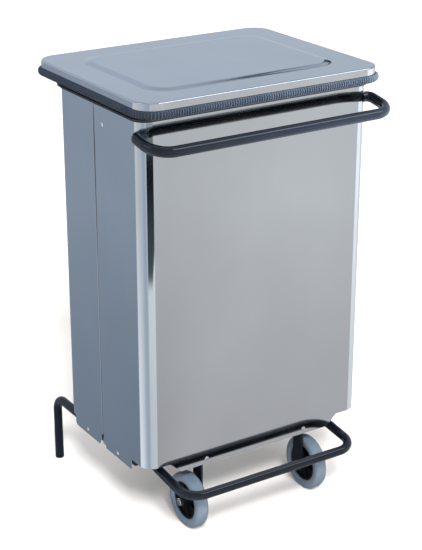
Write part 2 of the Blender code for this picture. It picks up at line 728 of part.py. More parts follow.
def pedal():
    """Foot pedal: a U of tube welded to the pivot tube that turns between the rails."""
    ahead = Vector((0, PEDAL_Y - PIVOT.y, PEDAL_Z - PIVOT.z))
    start = PIVOT + ahead.normalized() * (PIVOT_TUBE_RADIUS + GAP)
    points = [(-PEDAL_X, start.y, start.z), (-PEDAL_X, PEDAL_Y, PEDAL_Z)]
    points += [(PEDAL_X, PEDAL_Y, PEDAL_Z), (PEDAL_X, start.y, start.z)]
    path = bent_path(points, [PEDAL_BEND, PEDAL_BEND], 6)
    place("pedal_tube", tube(path, TUBE_RADIUS, TUBE_WALL), "black_paint", "pedal")
    inner = PIVOT_TUBE_RADIUS - PIVOT_TUBE_WALL
    half = PIVOT_TUBE_HALF
    section = [(PIVOT_TUBE_RADIUS, -half), (PIVOT_TUBE_RADIUS, half), (inner, half), (inner, -half)]
    place("pivot_tube", turned(section, "x", PIVOT, 16, closed=True), "black_paint", "pedal")
    for name, s in both_sides():
        bore = PIVOT_BOLT_RADIUS + GAP
        bush = [(bore, half - BUSH_LENGTH), (inner - GAP, half - BUSH_LENGTH), (inner - GAP, half + GAP)]
        bush += [(BUSH_FLANGE, half + GAP), (BUSH_FLANGE, half + 0.0020), (bore, half + 0.0020)]
        mesh = turned([(r, s * a) for r, a in bush], "x", PIVOT, 12, closed=True)
        place("pivot_bush_" + name, mesh, "black_plastic", "pedal")
        head = RAIL_X + TUBE_RADIUS + GAP
        bolt = [("h0.0065", head + 0.0040), ("h0.0065", head)]
        bolt += [(PIVOT_BOLT_RADIUS, head), (PIVOT_BOLT_RADIUS, half - BUSH_LENGTH - 0.0005)]
        mesh = turned([(r, s * a) for r, a in bolt], "x", PIVOT)
        place("pivot_bolt_" + name, mesh, "zinc_steel", "bin")


def pedal_lever():
    """Flat bar from the pivot tube back to the push rod's lower pin."""
    back = ROD_PIN - PIVOT
    tilt = back.yz.angle_signed(Vector((1, 0))) * 180 / pi
    outline = arc(PIVOT.yz, LEVER_EYE, tilt + 40, tilt + 320, 14)
    outline += arc(ROD_PIN.yz, LEVER_HALF, tilt - 90, tilt + 90, 8)
    holes = [circle(PIVOT.yz, PIVOT_TUBE_RADIUS + 2 * GAP, 16), circle(ROD_PIN.yz, PIN_RADIUS + HOLE_EASE)]
    low = ROD_HALF + PLAY
    place("pedal_lever", plate(outline, holes, low, low + LEVER_SHEET, "x"), "black_paint", "pedal")
    clevis_pin("pedal_lever_pin", ROD_PIN, low + LEVER_SHEET, "pedal")


def clevis_pin(name, point, far, pivot):
    """A pin with a head on each side of the rod and the plate that it joins."""
    near = -ROD_HALF - PLAY
    section = [
        (PIN_HEAD, near - 0.0020),
        (PIN_HEAD, near),
        (PIN_RADIUS, near),
        (PIN_RADIUS, far + GAP),
        (PIN_HEAD, far + GAP),
        (PIN_HEAD, far + 0.0020),
    ]
    place(name, turned(section, "x", point), "zinc_steel", pivot)


def push_rod():
    """Flat bar behind the body, with a round hole for the pedal's pin and a slot for the lid's."""
    half = ROD_WIDTH / 2
    low, top = ROD_PIN.yz, LID_PIN.yz
    front, back = top[0] - SLOT_FRONT, top[0] + SLOT_BACK
    slot_half = PIN_RADIUS + SLOT_EASE
    eye_z = top[1] + SLOT_RISE
    wide = slot_half + 0.005
    outline = arc(low, half, 180, 360, 8)
    outline += [(top[0] + half, top[1] - wide - 0.010)]
    outline += arc((back, eye_z), wide, -60, 90, 8)
    outline += arc((front, eye_z), wide, 90, 240, 8)
    outline += [(top[0] - half, top[1] - wide - 0.016)]
    slot = arc((back, eye_z), slot_half, -90, 90, 6) + arc((front, eye_z), slot_half, 90, 270, 6)
    holes = [circle(low, PIN_RADIUS + HOLE_EASE), slot]
    place("push_rod", plate(outline, holes, -ROD_HALF, ROD_HALF, "x"), "zinc_steel", "rod")


# ---------------------------------------------------------------- lid and hinge


def lid_shell():
    """Pressed lid with a rounded edge and a middle that a sloping step lifts above the rim."""
    upper = [
        (-STEP_IN, LID_TOP),
        (-STEP_IN + STEP_EASE, LID_TOP - STEP_SOFT),
        (-STEP_OUT - STEP_EASE, RIM_TOP + STEP_SOFT),
        (-STEP_OUT, RIM_TOP),
        (-LID_EDGE_ROUND, RIM_TOP),
    ]
    for step in (30, 60, 90):
        a = radians(step)
        upper.append((-LID_EDGE_ROUND * (1 - sin(a)), RIM_TOP - LID_EDGE_ROUND * (1 - cos(a))))
    outside = [lid_outline(d, z) for d, z in upper] + [lid_outline(0, SKIRT_BOTTOM)]
    inside = [lid_outline(-LID_SHEET, SKIRT_BOTTOM)]
    for d, z in reversed(upper):
        inside.append(lid_outline(min(d, -LID_SHEET), z - LID_SHEET))
    place("lid_shell", loft(outside + inside), "bright_steel", "lid", 25.0)


def lid_trim():
    """Rubber edge strip clipped over the lid's skirt, which bulges out past it."""
    section = [
        (GAP, TRIM_TOP),
        (0.0040, TRIM_TOP - 0.0006),
        (0.0062, TRIM_TOP - 0.0030),
        (TRIM_BULGE, TRIM_TOP - 0.0070),
        (0.0062, TRIM_BOTTOM + 0.0032),
        (0.0040, TRIM_BOTTOM + 0.0008),
        (0.0010, TRIM_BOTTOM),
        (-TRIM_LIP, TRIM_BOTTOM),
        (-TRIM_LIP, TRIM_GROOVE_TOP),
        (-LID_SHEET - GAP, TRIM_GROOVE_TOP),
        (-LID_SHEET - GAP, SKIRT_BOTTOM - GAP),
        (GAP, SKIRT_BOTTOM - GAP),
    ]
    rings = [lid_outline(d, z) for d, z in section]
    place("lid_trim", loft(rings, closed=True), "slate_rubber", "lid")


def lid_buffers():
    """Rubber stops under the lid's front corners, which rest on the top frame."""
    top = RIM_TOP - LID_SHEET - GAP
    for name, s in both_sides():
        profile = [(0.0060, FRAME_TOP + GAP), (0.0075, FRAME_TOP + 0.004)]
        profile += [(0.0085, top - 0.004), (0.011, top)]
        centre = (s * BUFFER_X, -(BODY_HALF_Y + 0.001), 0)
        place("lid_buffer_" + name, turned(profile, "z", centre), "black_plastic", "lid")


def hinge(name, s):
    """One hinge: a bracket on the rear wall, a leaf under the lid and the pin through both."""
    eye, bore = HINGE_EYE, PIN_RADIUS + HOLE_EASE
    wall = BODY_HALF_Y + GAP
    near, far = s * HINGE_X, s * (HINGE_X + HINGE_SHEET)
    low, high = sorted((near, far))
    arm = [(wall, BRACKET_BOTTOM), (wall + 4 * HINGE_SHEET, BRACKET_BOTTOM)]
    arm += arc(HINGE.yz, eye, -50, 110, 8)
    arm += [(wall, BRACKET_TOP)]
    bracket = place(
        "hinge_bracket_" + name,
        plate(arm, [circle(HINGE.yz, bore)], low, high, "x"),
        "black_paint",
        "bin",
    )
    low, high = sorted((near + s * 0.0005, s * (HINGE_X - BRACKET_FLANGE)))
    flange = box((low, wall, BRACKET_BOTTOM), (high, wall + HINGE_SHEET, BRACKET_TOP))
    cut(bracket, flange, "UNION")
    under = RIM_TOP - LID_SHEET - GAP
    near, far = s * (HINGE_X + HINGE_SHEET + GAP), s * (HINGE_X + 2 * HINGE_SHEET + GAP)
    low, high = sorted((near, far))
    front, back = HINGE.y - LEAF_FRONT, HINGE.y + LEAF_BACK
    leaf = [(front, under)] + arc(HINGE.yz, eye, 180, 360, 10) + [(back, under)]
    lid_leaf = place(
        "lid_leaf_" + name,
        plate(leaf, [circle(HINGE.yz, bore)], low, high, "x"),
        "black_paint",
        "lid",
    )
    low, high = sorted((near + s * 0.0005, s * (HINGE_X + 0.026)))
    flange = box((low, front, under - HINGE_SHEET), (high, back, under))
    cut(lid_leaf, flange, "UNION")
    reach = HINGE_X + 2 * HINGE_SHEET + GAP
    section = [(HINGE_HEAD, HINGE_X - GAP - 0.002), (HINGE_HEAD, HINGE_X - GAP), (PIN_RADIUS, HINGE_X - GAP)]
    section += [(PIN_RADIUS, reach + GAP), (HINGE_HEAD, reach + GAP), (HINGE_HEAD, reach + GAP + 0.002)]
    mesh = turned([(r, s * a) for r, a in section], "x", HINGE)
    place("hinge_pin_" + name, mesh, "zinc_steel", "bin")


def lid_lever():
    """Plate under the lid whose pin the push rod lifts."""
    under = RIM_TOP - LID_SHEET - GAP
    low = ROD_HALF + PLAY
    front, back = HINGE.y - LID_LEVER_FRONT, HINGE.y + LID_LEVER_BACK
    outline = arc(LID_PIN.yz, HINGE_EYE, 170, 350, 8)
    outline += [(back, HINGE.z + 0.004), (back, under), (front, under)]
    holes = [circle(LID_PIN.yz, PIN_RADIUS + HOLE_EASE)]
    lever = place("lid_lever", plate(outline, holes, low, low + HINGE_SHEET, "x"), "black_paint", "lid")
    flange = box((low + 0.0005, front, under - HINGE_SHEET), (low + 0.024, back, under))
    cut(lever, flange, "UNION")
    clevis_pin("lid_lever_pin", LID_PIN, low + HINGE_SHEET, "lid")


# ---------------------------------------------------------------- assembly

PIVOTS = {
    "bin": Vector((0, 0, 0)),
    "lid": HINGE,
    "pedal": PIVOT,
    "rod": ROD_PIN,
    "wheel_left": Vector((-WHEEL_X, WHEEL_Y, WHEEL_RADIUS)),
    "wheel_right": Vector((WHEEL_X, WHEEL_Y, WHEEL_RADIUS)),
}


def main():
    clear_scene()
    for name, location in PIVOTS.items():
        make_pivot(name, location + Vector((0, BODY_Y, 0)))
    front_shell()
    rear_shell()
    base_pan()
    top_frame()
    sack_band()
    rivets()
    handle()
    handle_screws()
    base_legs()
    cross_channels()
    wheel_strap()
    wheels()
    pedal()
    pedal_lever()
    push_rod()
    lid_shell()
    lid_trim()
    lid_buffers()
    for name, side in both_sides():
        hinge(name, side)
    lid_lever()


main()
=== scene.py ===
"""Looks of the wheeled pedal waste bin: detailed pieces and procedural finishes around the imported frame."""
from math import cos, pi, radians, sin, tan

import bmesh
import bpy
from mathutils import Matrix, Vector

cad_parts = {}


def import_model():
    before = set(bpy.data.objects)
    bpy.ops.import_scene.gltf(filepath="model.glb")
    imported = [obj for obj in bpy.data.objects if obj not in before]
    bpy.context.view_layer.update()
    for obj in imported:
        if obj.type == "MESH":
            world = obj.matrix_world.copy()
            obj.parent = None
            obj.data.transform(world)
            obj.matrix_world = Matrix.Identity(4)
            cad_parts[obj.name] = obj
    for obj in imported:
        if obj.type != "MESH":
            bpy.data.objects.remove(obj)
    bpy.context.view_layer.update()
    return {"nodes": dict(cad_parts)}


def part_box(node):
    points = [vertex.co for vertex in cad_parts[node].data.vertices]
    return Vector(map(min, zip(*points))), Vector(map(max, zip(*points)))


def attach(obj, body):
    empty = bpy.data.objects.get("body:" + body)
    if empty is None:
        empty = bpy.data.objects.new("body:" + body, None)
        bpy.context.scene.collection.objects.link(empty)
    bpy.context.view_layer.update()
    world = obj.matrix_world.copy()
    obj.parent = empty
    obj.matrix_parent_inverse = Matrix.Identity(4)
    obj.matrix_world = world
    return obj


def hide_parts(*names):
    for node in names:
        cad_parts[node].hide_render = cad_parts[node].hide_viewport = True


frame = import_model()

# ---- sizes read from the frame

FRONT_LOW, FRONT_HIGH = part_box("front_shell")
REAR_LOW, REAR_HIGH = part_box("rear_shell")
LID_LOW, LID_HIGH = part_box("lid_shell")
TRIM_LOW, TRIM_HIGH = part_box("lid_trim")
MID_Y = (FRONT_LOW.y + REAR_HIGH.y) / 2
BODY_X = REAR_HIGH.x
BODY_Y = REAR_HIGH.y - MID_Y
BODY_TOP = REAR_HIGH.z
SEAM_Y = REAR_LOW.y - MID_Y
FLAP_BOTTOM = REAR_LOW.z

GAP = 0.0003
SHEET = 0.001
LIP = 0.00025
BODY_CORNER = 0.025
LID_CORNER = 0.04
CORNER_BOTTOM = FLAP_BOTTOM + 0.022
NOTCH_TOP = FLAP_BOTTOM + 0.0115
LAP_END = FRONT_HIGH.y - MID_Y
FLAP_X = 0.172
RELIEF_X = 0.198

TUBE_WALL = 0.0015
TUBE_RADIUS = 0.009
HANDLE_RADIUS = 0.01
PIVOT_RADIUS = 0.011
HANDLE_BEND = 0.04
LEG_BEND = 0.03
PEDAL_BEND = 0.038

SIDES = (("left", -1), ("right", 1))


def at(x, y, z):
    """A point written from the middle of the body, as a point of the frame."""
    return Vector((x, MID_Y + y, z))


def mid(node):
    low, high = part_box(node)
    return (low + high) / 2


def half_size(node):
    low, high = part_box(node)
    return [(b - a) / 2 for a, b in zip(low, high)]


def axis_point(node, axis):
    """A point on the node's own line along X or Z, at 0 on that axis."""
    centre = mid(node)
    setattr(centre, axis, 0)
    return centre


def ends(node, s):
    """The node's inner and outer end along X, on the left-hand (-1) or right-hand (1) side."""
    low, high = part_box(node)
    return (low.x, high.x) if s > 0 else (high.x, low.x)


# ---- materials


class Nodes:
    """Short way to write a node tree: each call adds a node and sets or links its inputs."""

    def __init__(self, tree):
        self.tree = tree

    def add(self, kind, inputs=None, **settings):
        node = self.tree.nodes.new(kind)
        for key, value in settings.items():
            setattr(node, key, value)
        for key, value in (inputs or {}).items():
            if isinstance(value, bpy.types.NodeSocket):
                self.tree.links.new(value, node.inputs[key])
            else:
                node.inputs[key].default_value = value
        return node

    def coords(self, scale=(1, 1, 1)):
        source = self.add("ShaderNodeTexCoord").outputs["Object"]
        return self.add("ShaderNodeMapping", {"Vector": source, "Scale": scale}).outputs["Vector"]

    def noise(self, vector, scale, detail=3.0, rough=0.5):
        made = self.add(
            "ShaderNodeTexNoise",
            {"Vector": vector, "Scale": scale, "Detail": detail, "Roughness": rough},
        )
        return made.outputs["Fac"]

    def spread(self, value, low=0.0, high=1.0, from_low=0.3, from_high=0.7):
        """Maps a texture value to the range from low to high."""
        made = self.add(
            "ShaderNodeMapRange",
            {"Value": value, "From Min": from_low, "From Max": from_high, "To Min": low, "To Max": high},
        )
        return made.outputs["Result"]

    def rise(self, value, start, end):
        """0 up to start, 1 from end on."""
        return self.spread(value, 0.0, 1.0, start, end)

    def fall(self, value, start, end):
        """1 up to start, 0 from end on."""
        return self.spread(value, 1.0, 0.0, start, end)

    def mix(self, factor, first, second):
        made = self.add("ShaderNodeMix", {"Factor": factor}, data_type="RGBA")
        for index, value in ((6, first), (7, second)):
            if isinstance(value, bpy.types.NodeSocket):
                self.tree.links.new(value, made.inputs[index])
            else:
                made.inputs[index].default_value = (*value, 1.0)
        return made.outputs[2]

    def bump(self, height, strength, distance, normal=None):
        inputs = {"Height": height, "Strength": strength, "Distance": distance}
        if normal is not None:
            inputs["Normal"] = normal
        return self.add("ShaderNodeBump", inputs).outputs["Normal"]

    def math(self, operation, first, second, clamp=False):
        made = self.add("ShaderNodeMath", {0: first, 1: second}, operation=operation, use_clamp=clamp)
        return made.outputs["Value"]

    def vector(self, operation, *values):
        made = self.add("ShaderNodeVectorMath", dict(enumerate(values)), operation=operation)
        return made.outputs["Value" if operation == "LENGTH" else "Vector"]

    def compass(self, direction):
        """Compass turn of a direction, seen from above: 0 and 1 at -X, 0.5 at +X."""
        made = self.add("ShaderNodeTexGradient", {"Vector": direction}, gradient_type="RADIAL")
        return made.outputs["Fac"]

    def ramp(self, value, stops):
        """Colours by value, from (place, colour) stops."""
        made = self.add("ShaderNodeValToRGB", {"Fac": value})
        elements = made.color_ramp.elements
        while len(elements) < len(stops):
            elements.new(0.5)
        for element, (place, colour) in zip(elements, stops):
            element.position = place
            element.color = (*colour, 1.0)
        return made.outputs["Color"]

    def edges(self):
        """1 near worn outer edges, 0 elsewhere."""
        point = self.add("ShaderNodeNewGeometry").outputs["Pointiness"]
        return self.rise(point, 0.53, 0.6)


def scaled(colour, factor, extra=0.0):
    return tuple(c * factor + extra for c in colour)


def new_material(name, values):
    material = bpy.data.materials.new(name)
    material.use_nodes = True
    tree = material.node_tree
    shader = tree.nodes["Principled BSDF"]
    for key, value in values.items():
        shader.inputs[key].default_value = value
    return material, Nodes(tree), shader


def link(nodes, shader, **sockets):
    names = {"color": "Base Color", "rough": "Roughness", "normal": "Normal"}
    for key, value in sockets.items():
        nodes.tree.links.new(value, shader.inputs[names[key]])


def bright_steel(name, tone, rough, wave, grain_axis=(60, 60, 2.5)):
    """Bright rolled stainless sheet: long faint grain, slow waves in the sheet, wiped smears."""
    material, n, shader = new_material(name, {"Metallic": 1.0})
    smear = n.noise(n.coords((7, 7, 2.2)), 1.0, 4.0, 0.6)
    cloud = n.noise(n.coords(), 5.0, 2.0)
    grain = n.noise(n.coords(grain_axis), 14.0, 3.0, 0.65)
    tint = n.mix(n.spread(cloud), scaled(tone, 0.965), scaled(tone, 1.03))
    worn = n.mix(n.spread(smear, 0.0, 0.35, 0.5, 0.8), tint, scaled(tone, 0.93))
    base = n.spread(smear, rough * 0.8, rough * 1.5)
    fine = n.spread(grain, -0.012, 0.012)
    total = n.math("ADD", base, fine, clamp=True)
    long_wave = n.bump(n.noise(n.coords((1.0, 1.0, 0.55)), 3.2, 1.0), wave, 0.004)
    normal = n.bump(grain, 0.012, 0.0006, long_wave)
    link(n, shader, color=worn, rough=total, normal=normal)
    return material


def black_paint(name, tone=(0.003, 0.0045, 0.008)):
    """Gloss powder coat: a fine orange peel, a faint cloud of dust and paint rubbed thin on edges."""
    values = {"Coat Weight": 0.2, "Coat Roughness": 0.03, "Specular IOR Level": 0.27}
    material, n, shader = new_material(name, values)
    peel = n.noise(n.coords(), 420.0, 2.0)
    cloud = n.noise(n.coords(), 22.0, 4.0)
    colour = n.mix(n.spread(cloud), tone, scaled(tone, 1.3))
    colour = n.mix(n.edges(), colour, scaled(tone, 1.4, 0.001))
    link(n, shader, color=colour, rough=n.spread(cloud, 0.07, 0.13), normal=n.bump(peel, 0.04, 0.0003))
    return material


def rubber(name, tone, rough=(0.52, 0.7), grain=260.0, gloss=0.45, hollow_shade=0.0):
    """Moulded rubber: a fine pebbled skin, a bloom of dust, paler rubbed edges, and painted shade darkening
    the hollows.
    """
    material, n, shader = new_material(name, {"Specular IOR Level": gloss})
    skin = n.noise(n.coords(), grain, 3.0)
    bloom = n.noise(n.coords(), 28.0, 5.0, 0.6)
    colour = n.mix(n.spread(bloom, 0.0, 0.9), tone, scaled(tone, 1.35, 0.006))
    colour = n.mix(n.edges(), colour, scaled(tone, 1.6, 0.01))
    # Painted shade: hollows, such as the valleys between ribs, are darkened in the colour as if the light did
    # not reach into them.
    if hollow_shade:
        point = n.add("ShaderNodeNewGeometry").outputs["Pointiness"]
        colour = n.mix(n.spread(point, hollow_shade, 0.0, 0.44, 0.52), colour, scaled(tone, 0.35))
    link(n, shader, color=colour, rough=n.spread(bloom, *rough), normal=n.bump(skin, 0.22, 0.0005))
    return material


def plastic(name, tone):
    """Moulded nylon: a faint spark-eroded texture."""
    material, n, shader = new_material(name, {"Specular IOR Level": 0.2})
    skin = n.noise(n.coords(), 700.0, 2.0)
    cloud = n.noise(n.coords(), 40.0, 3.0)
    colour = n.mix(n.spread(cloud), tone, scaled(tone, 1.5, 0.001))
    link(n, shader, color=colour, rough=n.spread(cloud, 0.38, 0.55), normal=n.bump(skin, 0.15, 0.0003))
    return material


def zinc(name):
    """Bright zinc plate, a little clouded."""
    material, n, shader = new_material(name, {"Metallic": 1.0})
    cloud = n.noise(n.coords(), 90.0, 4.0)
    scratch = n.noise(n.coords((40, 400, 400)), 1.0, 2.0)
    colour = n.mix(n.spread(cloud), (0.66, 0.67, 0.67), (0.8, 0.8, 0.77))
    link(n, shader, color=colour, rough=n.spread(cloud, 0.18, 0.34), normal=n.bump(scratch, 0.02, 0.0001))
    return material


def braid(name):
    """Elastic cord covered with a woven sleeve."""
    material, n, shader = new_material(name, {})
    weave = n.add(
        "ShaderNodeTexWave",
        {"Vector": n.coords(), "Scale": 260.0, "Distortion": 1.5, "Detail": 1.0},
        bands_direction="DIAGONAL",
    ).outputs["Fac"]
    colour = n.mix(weave, (0.008, 0.008, 0.01), (0.03, 0.03, 0.034))
    rough = n.spread(weave, 0.75, 0.9, 0, 1)
    link(n, shader, color=colour, rough=rough, normal=n.bump(weave, 0.5, 0.0006))
    return material


STEEL_BODY = bright_steel("bright_sheet", (0.54, 0.565, 0.59), 0.055, 0.1)
STEEL_LID = bright_steel("lid_sheet", (0.56, 0.575, 0.595), 0.1, 0.05, (60, 2.5, 60))
STEEL_INSIDE = bright_steel("dull_sheet", (0.66, 0.67, 0.68), 0.34, 0.05)
STEEL_PAN = bright_steel("mill_sheet", (0.5, 0.52, 0.54), 0.3, 0.05, (2.5, 60, 60))
PAINT = black_paint("black_powder_coat")
# The ribbed strip's last value darkens its rib valleys as painted shade.
RUBBER_TRIM = rubber("slate_rubber", (0.0143, 0.021, 0.032), (0.3, 0.42), 180.0, 0.1, 0.8)
RUBBER_TYRE = rubber("grey_tyre_rubber", (0.098, 0.132, 0.172), (0.42, 0.6), 300.0)
RUBBER_BLACK = rubber("black_rubber", (0.012, 0.012, 0.014))
PLASTIC = plastic("black_nylon", (0.003, 0.0035, 0.005))
ZINC = zinc("zinc_plate")
BRAID = braid("woven_elastic")

# ---- mesh tools


def arc(centre, radius, start, end, steps):
    angles = [radians(start + (end - start) * i / steps) for i in range(steps + 1)]
    return [(centre[0] + radius * cos(a), centre[1] + radius * sin(a)) for a in angles]


def rounded_rect(half_x, low_y, high_y, radius, steps=20):
    x, low, high = half_x - radius, low_y + radius, high_y - radius
    return (
        arc((x, high), radius, 0, 90, steps)
        + arc((-x, high), radius, 90, 180, steps)
        + arc((-x, low), radius, 180, 270, steps)
        + arc((x, low), radius, 270, 360, steps)
    )


def bent_path(points, bends, steps=14):
    points = [Vector(p) for p in points]
    path = [points[0]]
    for before, corner, after, bend in zip(points, points[1:], points[2:], bends):
        back = (before - corner).normalized()
        ahead = (after - corner).normalized()
        half = back.angle(ahead) / 2
        centre = corner + (back + ahead).normalized() * (bend / sin(half))
        start = corner + back * (bend / tan(half)) - centre
        end = corner + ahead * (bend / tan(half)) - centre
        axis = start.cross(end).normalized()
        turn = pi - 2 * half
        path += [centre + Matrix.Rotation(turn * i / steps, 3, axis) @ start for i in range(steps + 1)]
    return path + [points[-1]]


def loft(rings, closed=False):
    bm = bmesh.new()
    rows = [[bm.verts.new(p) for p in ring] for ring in rings]
    pairs = list(zip(rows, rows[1:]))
    if closed:
        pairs.append((rows[-1], rows[0]))
    else:
        bm.faces.new(rows[0][::-1])
        bm.faces.new(rows[-1])
    count = len(rings[0])
    for low, high in pairs:
        for i in range(count):
            j = (i + 1) % count
            bm.faces.new((low[i], low[j], high[j], high[i]))
    return bm


def tube_rings(path, radius, sides):
    rings = []
    tangent = (path[1] - path[0]).normalized()
    side = tangent.orthogonal().normalized()
    for i, point in enumerate(path):
        ahead = (path[min(i + 1, len(path) - 1)] - path[max(i - 1, 0)]).normalized()
        side = (tangent.rotation_difference(ahead) @ side).normalized()
        side = (side - ahead * side.dot(ahead)).normalized()
        tangent = ahead
        up = tangent.cross(side)
        angles = (2 * pi * k / sides for k in range(sides))
        rings.append([point + (side * cos(a) + up * sin(a)) * radius for a in angles])
    return rings


def tube(path, radius, sides=36):
    """An open tube with a small chamfer on both cut ends."""
    edge = 0.0004
    first = path[0] + (path[1] - path[0]).normalized() * edge
    last = path[-1] + (path[-2] - path[-1]).normalized() * edge
    inner_path = [first] + path[1:-1] + [last]
    outer = tube_rings(inner_path, radius, sides)
    inner = tube_rings(inner_path, radius - TUBE_WALL, sides)
    lips = [tube_rings(path, radius - w, sides) for w in (edge, TUBE_WALL - edge)]
    rings = [lips[0][0]] + outer + [lips[0][-1], lips[1][-1]] + inner[::-1] + [lips[1][0]]
    return loft(rings, closed=True)


class Flats(float):
    """Half the distance across the flats, in place of a radius, where a turned profile is a hexagon."""


def turned(profile, axis, centre, segments=40, closed=False):
    """Turns (radius, place along the axis) points about an axis through centre."""
    rings = []
    for radius, along in profile:
        ring = []
        for k in range(segments):
            angle = 2 * pi * k / segments
            reach = radius
            if isinstance(radius, Flats):
                reach = radius / cos((angle + pi / 6) % (pi / 3) - pi / 6)
            u, v = reach * cos(angle), reach * sin(angle)
            local = {"x": (along, u, v), "y": (v, along, u), "z": (u, v, along)}[axis]
            ring.append(Vector(centre) + Vector(local))
        rings.append(ring)
    return loft(rings, closed)


def box_mesh(low, high):
    bm = bmesh.new()
    bmesh.ops.create_cube(bm, size=1.0)
    low, high = Vector(low), Vector(high)
    bmesh.ops.scale(bm, verts=bm.verts, vec=high - low)
    bmesh.ops.translate(bm, verts=bm.verts, vec=(low + high) / 2)
    return bm


def merge(meshes):
    whole = bmesh.new()
    for bm in meshes:
        spare = bpy.data.meshes.new("spare")
        bm.to_mesh(spare)
        bm.free()
        whole.from_mesh(spare)
        bpy.data.meshes.remove(spare)
    return whole


def new_object(name, data):
    obj = bpy.data.objects.new(name, data)
    bpy.context.scene.collection.objects.link(obj)
    return obj


def mesh_object(name, bm):
    bmesh.ops.recalc_face_normals(bm, faces=bm.faces)
    mesh = bpy.data.meshes.new(name)
    bm.to_mesh(mesh)
    bm.free()
    return new_object(name, mesh)


def bake(obj):
    """Turns the object's modifiers into its mesh."""
    graph = bpy.context.evaluated_depsgraph_get()
    mesh = bpy.data.meshes.new_from_object(obj.evaluated_get(graph))
    obj.modifiers.clear()
    obj.data = mesh


def cut(obj, bm):
    tool = mesh_object(obj.name + "_tool", bm)
    modifier = obj.modifiers.new("cut", "BOOLEAN")
    modifier.operation = "DIFFERENCE"
    modifier.solver = "EXACT"
    modifier.object = tool
    bake(obj)
    bpy.data.objects.remove(tool)


def finish(obj, material, body, nodes, sharp=32.0):
    """Shades a piece, gives it its finish and lets it ride on its body in place of its CAD nodes."""
    mesh = obj.data
    mesh.shade_smooth()
    mesh.set_sharp_from_angle(angle=radians(sharp))
    weighted = obj.modifiers.new("normals", "WEIGHTED_NORMAL")
    weighted.keep_sharp = True
    weighted.weight = 60
    mesh.materials.clear()
    mesh.materials.append(material)
    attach(obj, body)
    if nodes:
        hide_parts(*nodes)


def piece(name, bm, material, body, nodes, sharp=32.0):
    finish(mesh_object(name, bm), material, body, nodes, sharp)


def keep_node(node, material, bevel):
    """A CAD node whose shape is right: it stays, with broken edges and its own finish."""
    obj = frame["nodes"][node]
    weld = obj.modifiers.new("weld", "WELD")
    weld.merge_threshold = 0.00002
    edge = obj.modifiers.new("edge", "BEVEL")
    edge.width = bevel
    edge.segments = 2
    edge.limit_method = "ANGLE"
    edge.angle_limit = radians(40)
    obj.data.materials.clear()
    obj.data.materials.append(material)


# ---- body sheets


def body_ring(offset, z, steps=20):
    half_y = BODY_Y + offset
    outline = rounded_rect(BODY_X + offset, -half_y, half_y, BODY_CORNER + offset, steps)
    return [at(x, y, z) for x, y in outline]


# The seam's edges lean and are broken a little, so that they catch the light as a fine line.
SEAM_SLOPE = 0.0005
SEAM_BREAK = 0.0002
# Where each sheet's flap on the side wall starts and ends, from the middle of the body.
FRONT_FLAP = (0.002, -0.0965)
REAR_FLAP = (0.0285, 0.119)
SLOT_RADIUS = 0.002


def sheet_columns(half_x, wall, face, side):
    """A folded sheet as columns from the seam round the corner, along the long face and back."""
    steps = 22
    corner = (half_x - BODY_CORNER, side * (BODY_Y - BODY_CORNER))
    seam_y, seam_z = wall[0]
    wall = [wall[0], (seam_y + side * SEAM_SLOPE, seam_z)] + wall[1:]
    half = [((-half_x, y), (-1, 0), z) for y, z in wall]
    for i in range(steps + 1):
        a = radians(90 * i / steps)
        normal = (-cos(a), side * sin(a))
        point = (-corner[0] + BODY_CORNER * normal[0], corner[1] + BODY_CORNER * normal[1])
        half.append((point, normal, CORNER_BOTTOM))
    half += [((x, side * BODY_Y), (0, side), z) for x, z in face]
    mirrored = [((-p[0], p[1]), (-n[0], n[1]), z) for p, n, z in reversed(half)]
    rings = []
    columns = half + mirrored
    for index, ((x, y), (nx, ny), z) in enumerate(columns):
        at_seam = index in (0, len(columns) - 1)
        skin = SEAM_BREAK if at_seam else 0
        section = [(skin, z + LIP), (skin, BODY_TOP - LIP), (skin + LIP, BODY_TOP), (SHEET - LIP, BODY_TOP)]
        section += [(SHEET, BODY_TOP - LIP), (SHEET, z + LIP), (SHEET - LIP, z), (skin + LIP, z)]
        rings.append([at(x - nx * depth, y - ny * depth, height) for depth, height in section])
    return rings


def relief_curve(x0, z0, x1, z1, steps=10):
    """The lower edge between the flap and the corner relief, with a soft curve at both ends."""
    points = []
    for i in range(steps + 1):
        t = i / steps
        ease = t * t * (3 - 2 * t)
        points.append((x0 + (x1 - x0) * t, z0 + (z1 - z0) * (0.35 * t + 0.65 * ease)))
    return points


def dull_inside(obj):
    """The sheet's inner face keeps the mill's dull finish: only the outside is polished."""
    mesh = obj.data
    mesh.materials.append(STEEL_INSIDE)
    middle = at(0, 0, 0)
    for face in mesh.polygons:
        out = face.center - middle
        seam_end = abs(face.normal.y) > 0.7 and abs(out.x) > BODY_X - 3 * SHEET
        if face.normal.xy.dot(out.xy) < -0.01 and abs(face.normal.z) < 0.3 and not seam_end:
            face.material_index = 1


def seam_slots():
    """Cutters for the short slot through both sheets at the foot of each seam."""
    low, high = NOTCH_TOP + 0.0012 + SLOT_RADIUS, CORNER_BOTTOM + 0.0045 - SLOT_RADIUS
    section = arc((SEAM_Y, high), SLOT_RADIUS, 0, 180, 8) + arc((SEAM_Y, low), SLOT_RADIUS, 180, 360, 8)
    tools = []
    for _, s in SIDES:
        wall = s * (BODY_X + 0.0035)
        tools.append(loft([[at(wall + dx, y, z) for y, z in section] for dx in (-0.012, 0.006)]))
    return merge(tools)


def body_sheet(name, node, half_x, wall, side):
    face = relief_curve(-RELIEF_X, CORNER_BOTTOM, -FLAP_X, FLAP_BOTTOM) + [(-0.06, FLAP_BOTTOM)]
    sheet = mesh_object(name, loft(sheet_columns(half_x, wall, face, side)))
    cut(sheet, seam_slots())
    finish(sheet, STEEL_BODY, "bin", [node], 25.0)
    dull_inside(sheet)


